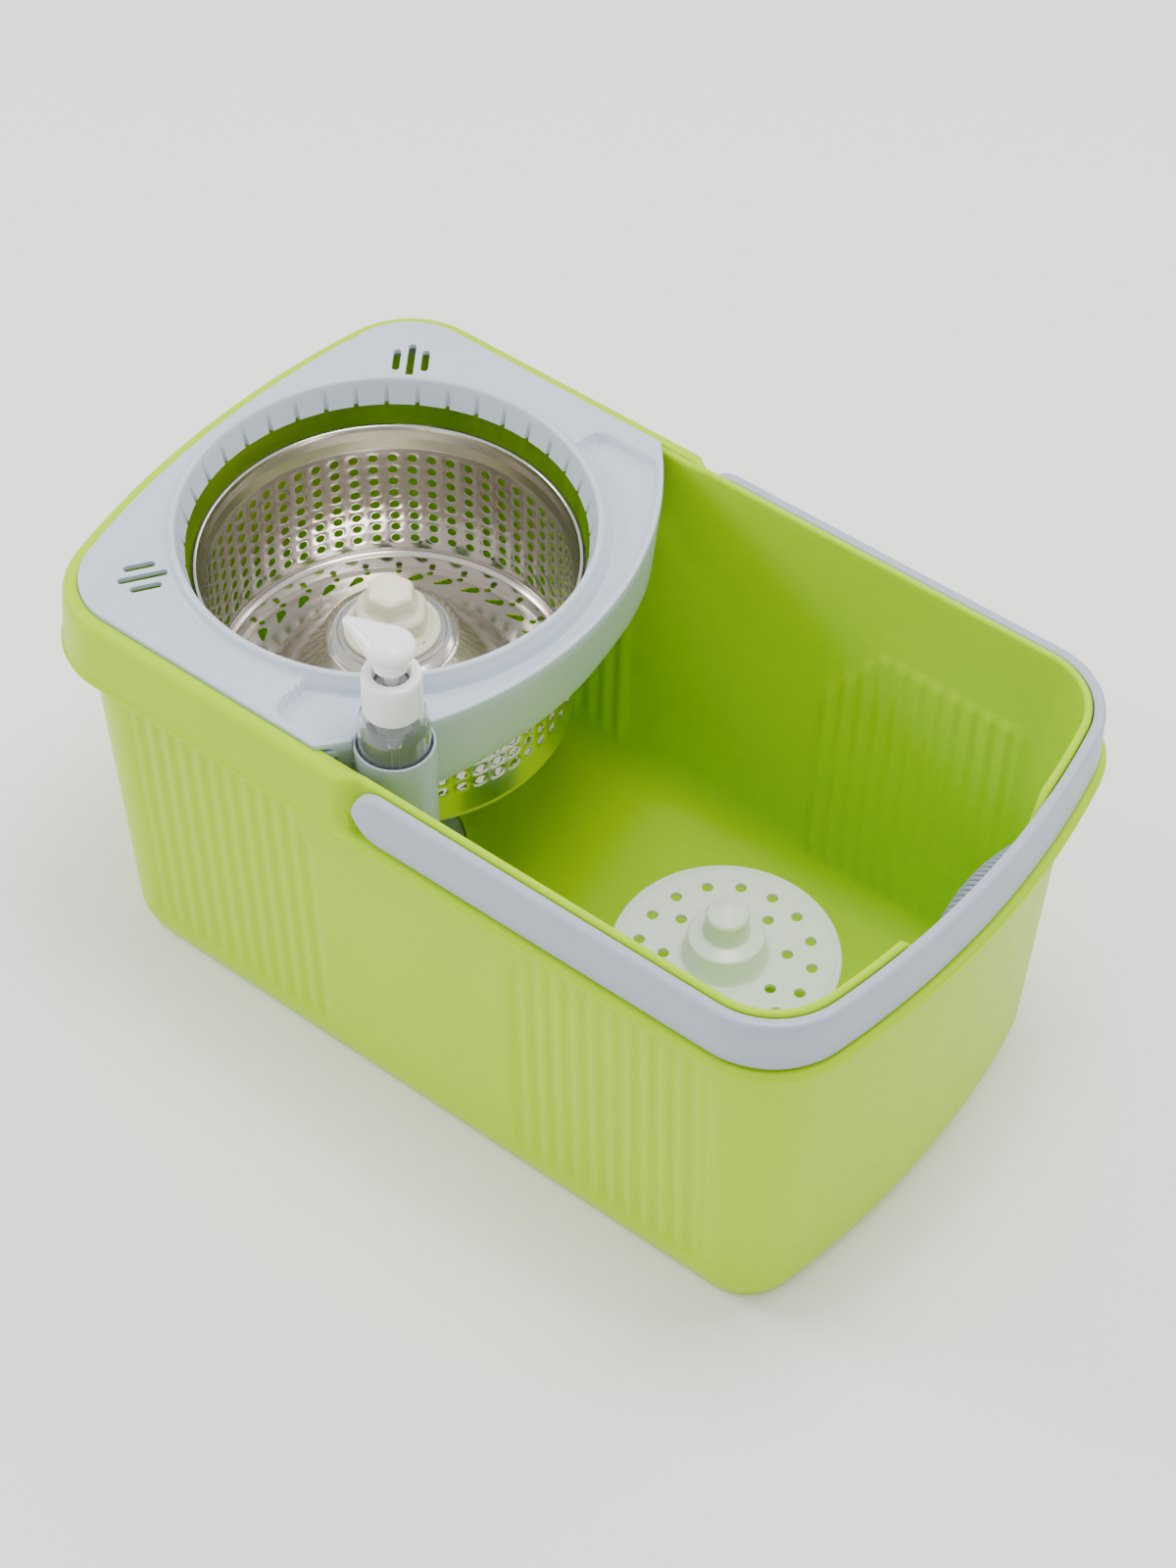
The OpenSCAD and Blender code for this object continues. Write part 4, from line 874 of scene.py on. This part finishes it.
def sectorTile(inner, outer, degrees, holes):
    # a flat sector with holes; each hole is a closed list of points
    half = math.radians(degrees / 2)
    edge = [(outer * math.cos(a), outer * math.sin(a)) for a in [half * (k / 4 - 1) for k in range(9)]]
    edge += [(inner * math.cos(a), inner * math.sin(a)) for a in [half * (1 - k / 3) for k in range(7)]]
    curve = bpy.data.curves.new("sector", "CURVE")
    curve.dimensions, curve.fill_mode = "2D", "BOTH"
    for loop in [edge] + holes:
        spline = curve.splines.new("POLY")
        spline.points.add(len(loop) - 1)
        for point, (x, y) in zip(spline.points, loop):
            point.co = (x * mm, y * mm, 0, 1)
        spline.use_cyclic_u = True
    holder = bpy.data.objects.new("sector", curve)
    bpy.context.scene.collection.objects.link(holder)
    mesh = bpy.data.meshes.new_from_object(holder.evaluated_get(bpy.context.evaluated_depsgraph_get()))
    bpy.data.objects.remove(holder)
    bm = bmesh.new()
    bm.from_mesh(mesh)
    bmesh.ops.remove_doubles(bm, verts=bm.verts, dist=0.00001)
    for face in bm.faces:
        face.normal_update()
        if face.normal.z < 0:
            face.normal_flip()
    bm.to_mesh(mesh)
    bm.free()
    return mesh


def ringHole(x, y, radius, count=18):
    return [(x + radius * math.cos(2 * math.pi * k / count), y + radius * math.sin(2 * math.pi * k / count))
        for k in range(count)]


def dropHole(x, y, turn, big, small, length):
    # a drop: a large round end, a small one, and straight sides between them
    lean = math.asin((big - small) / length)
    ring = [(big * math.cos(a), big * math.sin(a)) for a in
        [math.pi - lean + (math.pi + 2 * lean) * k / 12 for k in range(13)]]
    ring += [(small * math.cos(a), length + small * math.sin(a)) for a in
        [lean + (math.pi - 2 * lean) * k / 5 for k in range(6)]]
    ca, sa = math.cos(turn), math.sin(turn)
    return [(x + u * ca - v * sa, y + u * sa + v * ca) for u, v in ring]


def moved(mesh, x, y=0.0, turn=0.0):
    mesh.transform(Matrix.Translation((x * mm, y * mm, 0)) @ Matrix.Rotation(turn, 4, "Z"))
    return mesh


inside = basket["radius"] - basket["sheet"]
tileWidth = 2 * math.pi * basket["radius"] / basket["columns"]
tile = makeMesh("punchedTile", [holeTile(tileWidth, basket["pitch"], basket["hole"] / 2,
    -basket["lip"])], 60)
perforated = runTree("perforatedWall", tile, wallTree(), {"Columns": basket["columns"],
    "Rows": basket["rows"],
    "Pitch": basket["pitch"] * mm, "Radius": basket["radius"] * mm, "Start": basket["firstRow"] * mm,
    "Material": basketSteel}, basket["sheet"])
moved(perforated, basketX, turn=math.radians(180 / basket["columns"]))
wallLow = basket["firstRow"] - basket["pitch"] / 2
wallHigh = basket["firstRow"] + basket["pitch"] * (basket["rows"] - 0.5)
r = basket["radius"]
rolled = filleted([(r, wallHigh, 0), (r, 211.5, 5), (94.6, 217.5, 3), (95.6, 219.9, 1), (97.2, 219.9, 1.3),
    (98, 221.6, 1.4), (98, 223.6, 1.6), (96.6, 225, 1.8), (94.8, 225, 1.6), (93.9, 222.4, 2.2),
    (93.4, 217.6, 3),
    (inside, 212, 5), (inside, wallHigh, 0), (r, wallHigh, 0)], 5)
lower = filleted([(inside, wallLow, 0), (inside, 129.4, 2), (91.3, 127, 0.4), (91.9, 126.8, 0.3),
    (r, 130, 3), (r, wallLow, 0), (inside, wallLow, 0)], 4)


def reversedLoop(profile):
    return list(reversed(profile))


shellParts = [perforated, lathe(rolled, basketX, segments=128), lathe(reversedLoop(lower), basketX,
    segments=128)]
addPiece("basketShell", makeMesh("basketShell", shellParts, 40), basketSteel, "basket_shell", "basket")

sectorAngle = 360 / basket["drops"]
dot = math.radians(-3.8)
drop = dropHole(basket["radius"] - 11.6, 0.0, math.radians(36), 2.65, 0.85, 7.0)
spot = ringHole(85.3 * math.cos(dot), 85.3 * math.sin(dot), 1.75, 14)
moveBack = math.radians(0.1)


def turnedHole(loop, angle):
    ca, sa = math.cos(angle), math.sin(angle)
    return [(x * ca - y * sa, x * sa + y * ca) for x, y in loop]


sector = sectorTile(basket["ringInner"], basket["ringOuter"], sectorAngle,
    [turnedHole(drop, moveBack), turnedHole(spot, moveBack)])
slope = 4.8 / (87.6 - basket["domeRadius"])
drained = runTree("drainedRing", sector, turnTree(), {"Count": basket["drops"], "Start": 128.85 * mm,
    "Slope": slope, "Outer": basket["ringOuter"] * mm, "Material": basketSteel}, basket["sheet"])
moved(drained, basketX, turn=math.radians(-2.4) - moveBack)
seatZ = 128.85
innerZ = seatZ + slope * (basket["ringOuter"] - basket["ringInner"])
seatRing = filleted([(basket["ringOuter"], seatZ - 0.8, 0), (88.2, seatZ - 1.0, 1.6), (89, 131.5, 1.5),
    (89, 136.8, 1.2), (91.6, 138.4, 0.4), (91.6, 139.3, 0.3), (90.4, 139.3, 1.2), (88.2, 137.8, 1.4),
    (88.2, 130.6, 2.2), (basket["ringOuter"], seatZ, 0), (basket["ringOuter"], seatZ - 0.8, 0)], 5)
domeLine = filleted([(basket["ringInner"], innerZ - 0.8, 0), (62.4, 133.2, 3.0), (59.5, 138.5, 6),
    (33.4, 170.6, 7), (29.5, 172.0, 3), (12, 172.0, 0), (12, 172.8, 0), (29.8, 172.8, 3), (34.0, 171.2, 7),
    (60.1, 139.2, 5.2), (63.0, 133.9, 2.2), (basket["ringInner"], innerZ, 0),
    (basket["ringInner"], innerZ - 0.8, 0)], 6)
floorParts = [drained, lathe(seatRing, basketX, segments=128), lathe(reversedLoop(domeLine),
    basketX, segments=128)]
addPiece("basketFloor", makeMesh("basketFloor", floorParts, 40), basketSteel, "basket_floor", "basket")

ringProfile = filleted([(14, 172.82, 0), (14, 173.8, 0.2), (27.4, 173.8, 0.5), (28, 173.3, 0.4),
    (28, 172.82, 0),
    (14, 172.82, 0)], 3)
addPiece("hubRing", makeMesh("hubRing", [lathe(reversedLoop(ringProfile), basketX, segments=96)],
    45), ringSteel,
    "hub_ring", "basket")

hub = {"lobes": 6}


def hubLobes(angle, z):
    # six soft lobes on the lower body, and a smaller hexagon on the crown
    lower = smoothStep(178, 181, z) * (1 - smoothStep(189, 193, z))
    upper = smoothStep(190, 194, z)
    wave = math.cos(hub["lobes"] * (angle - math.radians(8)))
    return 1 + lower * 0.035 * wave + upper * (0.05 * wave)


hubProfile = filleted([(3.3, 173.85, 0), (24.6, 173.85, 0.4), (25, 174.6, 0.5), (24.4, 175.9, 0.8),
    (21.5, 176.6, 3), (18.4, 179.5, 3), (17.9, 188.4, 3.4), (13.8, 191.6, 2.6), (13.0, 194, 3),
    (11.6, 200.6, 2.5),
    (9.4, 202.2, 2.0), (4, 202.3, 0), (0, 202.0, 0)], 7)
hubProfile = [(0.0, 175.5), (3.3, 175.5)] + hubProfile
addPiece("driveHub", makeMesh("driveHub", [lathe(hubProfile, basketX, segments=120, lobes=hubLobes)], 45),
    hubPlastic, "drive_hub", "basket")
print("basket made")


disc = {"top": 77.0, "thickness": 2.6, "hole": 3.0, "outerRing": 43.95, "innerRing": 31.06,
    "tileInner": 23.6, "tileOuter": 55.4}


def polarHole(radius, degrees, size):
    a = math.radians(degrees)
    return ringHole(radius * math.cos(a), radius * math.sin(a), size, 22)


# each eighth of the disc holds two outer holes and one inner hole
discSector = sectorTile(disc["tileInner"], disc["tileOuter"], 45, [polarHole(disc["outerRing"],
    -11.25, disc["hole"]),
    polarHole(disc["outerRing"], 11.25, disc["hole"]), polarHole(disc["innerRing"], -22.35 + 22.5,
    disc["hole"])])
plate = runTree("discPlate", discSector, turnTree(), {"Count": 8, "Start": disc["top"] * mm, "Slope": 0.0,
    "Outer": disc["tileOuter"] * mm, "Material": discPlastic}, disc["thickness"])
moved(plate, discX, turn=math.radians(3.5 + 11.25 - 22.5))
tileInner, tileOuter, low = disc["tileInner"], disc["tileOuter"], disc["top"] - disc["thickness"]
discRim = filleted([(tileOuter, low, 0), (57.6, low - 1.0, 1.0), (58.6, low - 0.8, 0.5), (58.6, 76.2, 0.7),
    (57.7, 77, 0.7), (tileOuter, 77, 0), (tileOuter, low, 0)], 4)
hubShape = filleted([(4.05, 70, 0), (7.0, 70, 0.4), (7.2, 88, 1), (16.5, 88, 1.5), (19.6, low - 0.2, 1),
    (tileInner, low, 0), (tileInner, 77, 0), (22.2, 77.2, 1.4), (21.4, 79.4, 2), (19.4, 92.6, 1.6),
    (17.4, 93.4, 1.2), (11.9, 95.2, 1.6), (11.2, 97.4, 1.4), (11.0, 107.8, 1.0), (10.2, 109.2, 1.0),
    (0.9, 113.6, 0.8), (0, 113.8, 0)], 6)
hubShape = [(0.0, 101.0), (4.05, 101.0)] + hubShape
discParts = [plate, lathe(discRim, discX, segments=120), lathe(hubShape, discX, segments=96)]
addPiece("washDisc", makeMesh("washDisc", discParts, 42), discPlastic, "wash_disc", "disc")
print("wash disc made")


pump = {"head": 298.6, "round": 12.1, "tip": 25.4, "tipRadius": 2.3, "headTop": 311.0}
outerWall = [(0, 180.4, 0), (11, 180.4, 2), (13.4, 179.1, 1), (15.4, 179.0, 1.4), (17.2, 181, 1.6),
    (17.2, 255, 9), (15.8, 262.4, 5), (12.6, 266, 2), (12.4, 268, 1), (12.4, 278, 0)]
innerWall = [(10.8, 278, 0), (10.8, 267, 2), (14.6, 262.2, 5), (16.3, 255, 9), (16.3, 183, 2), (14,
    181.4, 1),
    (0, 181.4, 0)]
bottleProfile = filleted(outerWall, 6) + filleted(innerWall, 6)
addPiece("soapBottle", makeMesh("soapBottle", [lathe(bottleProfile, bottleX, bottleY, 72)], 50),
    bottleClear,
    "bottle", "bottle")

closureProfile = filleted([(13.25, 266.3, 0), (14.1, 266.25, 0.3), (14.3, 267, 0.4), (14.25, 286.6, 1.0),
    (13.7, 288.7, 1.2), (12.0, 289.2, 0.8), (9.4, 289.2, 0.6), (8.8, 288.4, 0.5), (8.8, 281, 0),
    (13.2, 280.7, 0),
    (13.25, 266.3, 0)], 5)
addPiece("pumpClosure", makeMesh("pumpClosure", [lathe(closureProfile, bottleX, bottleY, 96)], 45),
    pumpPlastic,
    "closure", "closure")


def headMesh():
    # smooth drop seen from above, crowned on top, its tip drawn out over the spout
    layers = 26
    length, big, small = pump["tip"], pump["round"], pump["tipRadius"]
    lean = math.asin((big - small) / length)
    ring = []
    arc = math.pi + 2 * lean
    for k in range(30):
        a = -arc / 2 + arc * k / 29
        ring.append((big * math.cos(a), big * math.sin(a)))
    a0 = arc / 2
    start = (big * math.cos(a0), big * math.sin(a0))
    end = (-length + small * math.cos(a0), small * math.sin(a0))
    for k in range(1, 14):
        t = k / 14
        ring.append((mix(start[0], end[0], t), mix(start[1], end[1],
            t) * (1 - 0.05 * math.sin(math.pi * t))))
    for k in range(12):
        a = a0 + (2 * math.pi - arc) * k / 11
        ring.append((-length + small * math.cos(a), small * math.sin(a)))
    for k in range(1, 14):
        t = 1 - k / 14
        ring.append((mix(start[0], end[0], t), -mix(start[1], end[1],
            t) * (1 - 0.05 * math.sin(math.pi * t))))
    grid = []
    for x, y in ring:
        along = max(0.0, -x / length)
        top = pump["headTop"] - 2.2 * along ** 1.4
        bottom = mix(pump["head"] + 1.2, pump["head"] + 4.0, smoothStep(0.1, 0.9, along))
        middle = mix(top, bottom, 0.52)
        column = []
        for k in range(layers + 1):
            a = -math.pi / 2 + math.pi * k / layers
            shrink = math.cos(a) ** 0.62 if abs(math.cos(a)) > 1e-6 else 0.0
            height = (top - middle) if a > 0 else (middle - bottom)
            z = middle + height * math.sin(a)
            spine = min(0.0, x) * 0.86
            column.append((bottleX + mix(spine, x, shrink), bottleY + y * shrink, z))
        grid.append(column)
    return skin(grid)


stemProfile = filleted([(3.65, 293.3, 0), (8.35, 293.3, 0.4), (8.0, 295.4, 1.5), (7.8, 298.4, 2),
    (9.4, 302.2, 2),
    (9.4, 304, 0), (3.65, 304, 0), (3.65, 293.4, 0)], 5)
headParts = [headMesh(), lathe(stemProfile, bottleX, bottleY, 72)]
addPiece("pumpHead", makeMesh("pumpHead", headParts, 60), pumpPlastic, "pump_head", "head")
print("pump made")


# these pieces keep their CAD shape and take a material
kept = {
    "hub_screws": screwSteel, "hub_socket": hubPlastic, "socket_bush": bushPlastic,
    "thrust_ball": ballSteel,
    "spindle": spindleSteel, "support_post": postPlastic, "post_screws": screwSteel,
    "disc_bush": bushPlastic,
    "wash_pin": pinSteel, "closure_gasket": gasketRubber, "pump_chamber": chamberClear,
    "valve_ball": ballSteel,
    "pump_spring": springSteel, "pump_stem": pumpPlastic, "dip_tube": chamberClear}
for name, material in kept.items():
    nodes[name].data.materials.clear()
    nodes[name].data.materials.append(material)


studio = {"floor": "FFFFFF", "world": 0.95, "key": 30.0, "fill": 1.5, "back": 20.0, "top": 22.0}
bpy.ops.mesh.primitive_plane_add(size=14, location=(0, 0, -0.0005))
ground = bpy.context.object
ground.name = "studioFloor"
paper, paperTree, paperShader, paperPlace = newMaterial("whitePaperSweep")
mottle = addNode(paperTree, "ShaderNodeTexNoise", {"Vector": paperPlace, "Scale": 3.0, "Detail": 2.0})
paperTone = addNode(paperTree, "ShaderNodeMapRange", {"Value": mottle.outputs["Fac"], "To Min": 0.9,
    "To Max": 0.96})
paperTree.links.new(paperTone.outputs["Result"], paperShader.inputs["Roughness"])
paperShader.inputs["Base Color"].default_value = linearColour(studio["floor"])
ground.data.materials.append(paper)

world = bpy.data.worlds.new("studio")
bpy.context.scene.world = world
world.use_nodes = True
world.node_tree.nodes["Background"].inputs["Color"].default_value = (1, 1, 1, 1)
world.node_tree.nodes["Background"].inputs["Strength"].default_value = studio["world"]


def softLight(name, place, target, size, power):
    lamp = bpy.data.lights.new(name, "AREA")
    lamp.shape, lamp.size, lamp.size_y, lamp.energy = "RECTANGLE", size[0], size[1], power
    holder = bpy.data.objects.new(name, lamp)
    holder.location = place
    holder.rotation_mode = "QUATERNION"
    holder.rotation_quaternion = (Vector(target) - Vector(place)).to_track_quat("-Z", "Y")
    bpy.context.scene.collection.objects.link(holder)


softLight("keyLight", (-1.9, -0.75, 1.5), (0, 0, 0.12), (0.8, 0.8), studio["key"])
softLight("topLight", (0.2, 0.1, 1.9), (0.08, 0, 0.05), (0.6, 0.6), studio["top"])
softLight("backLight", (0.4, 1.9, 1.6), (0, 0, 0.15), (1.6, 0.9), studio["back"])
softLight("fillLight", (0.3, -2.2, 1.0), (0, 0, 0.1), (1.6, 1.0), studio["fill"])

view = {"turn": 37.495, "rise": 48.323, "roll": -0.712, "distance": 1692.37, "target": (7.104,
    1.177, 141.483),
    "lens": 52.069}
camera = bpy.data.cameras.new("camera")
camera.sensor_fit, camera.sensor_height, camera.sensor_width = "VERTICAL", 24.0, 24.0
camera.lens = view["lens"]
holder = bpy.data.objects.new("camera", camera)
bpy.context.scene.collection.objects.link(holder)
turn, rise = math.radians(view["turn"]), math.radians(view["rise"])
back = Vector((math.sin(turn) * math.cos(rise), -math.cos(turn) * math.cos(rise), math.sin(rise)))
holder.location = (Vector(view["target"]) + back * view["distance"]) * mm
aim = (-back).to_track_quat("-Z", "Y").to_matrix() @ Matrix.Rotation(math.radians(-view["roll"]), 3, "Z")
holder.rotation_mode = "QUATERNION"
holder.rotation_quaternion = aim.to_quaternion()
bpy.context.scene.camera = holder
print("studio ready")
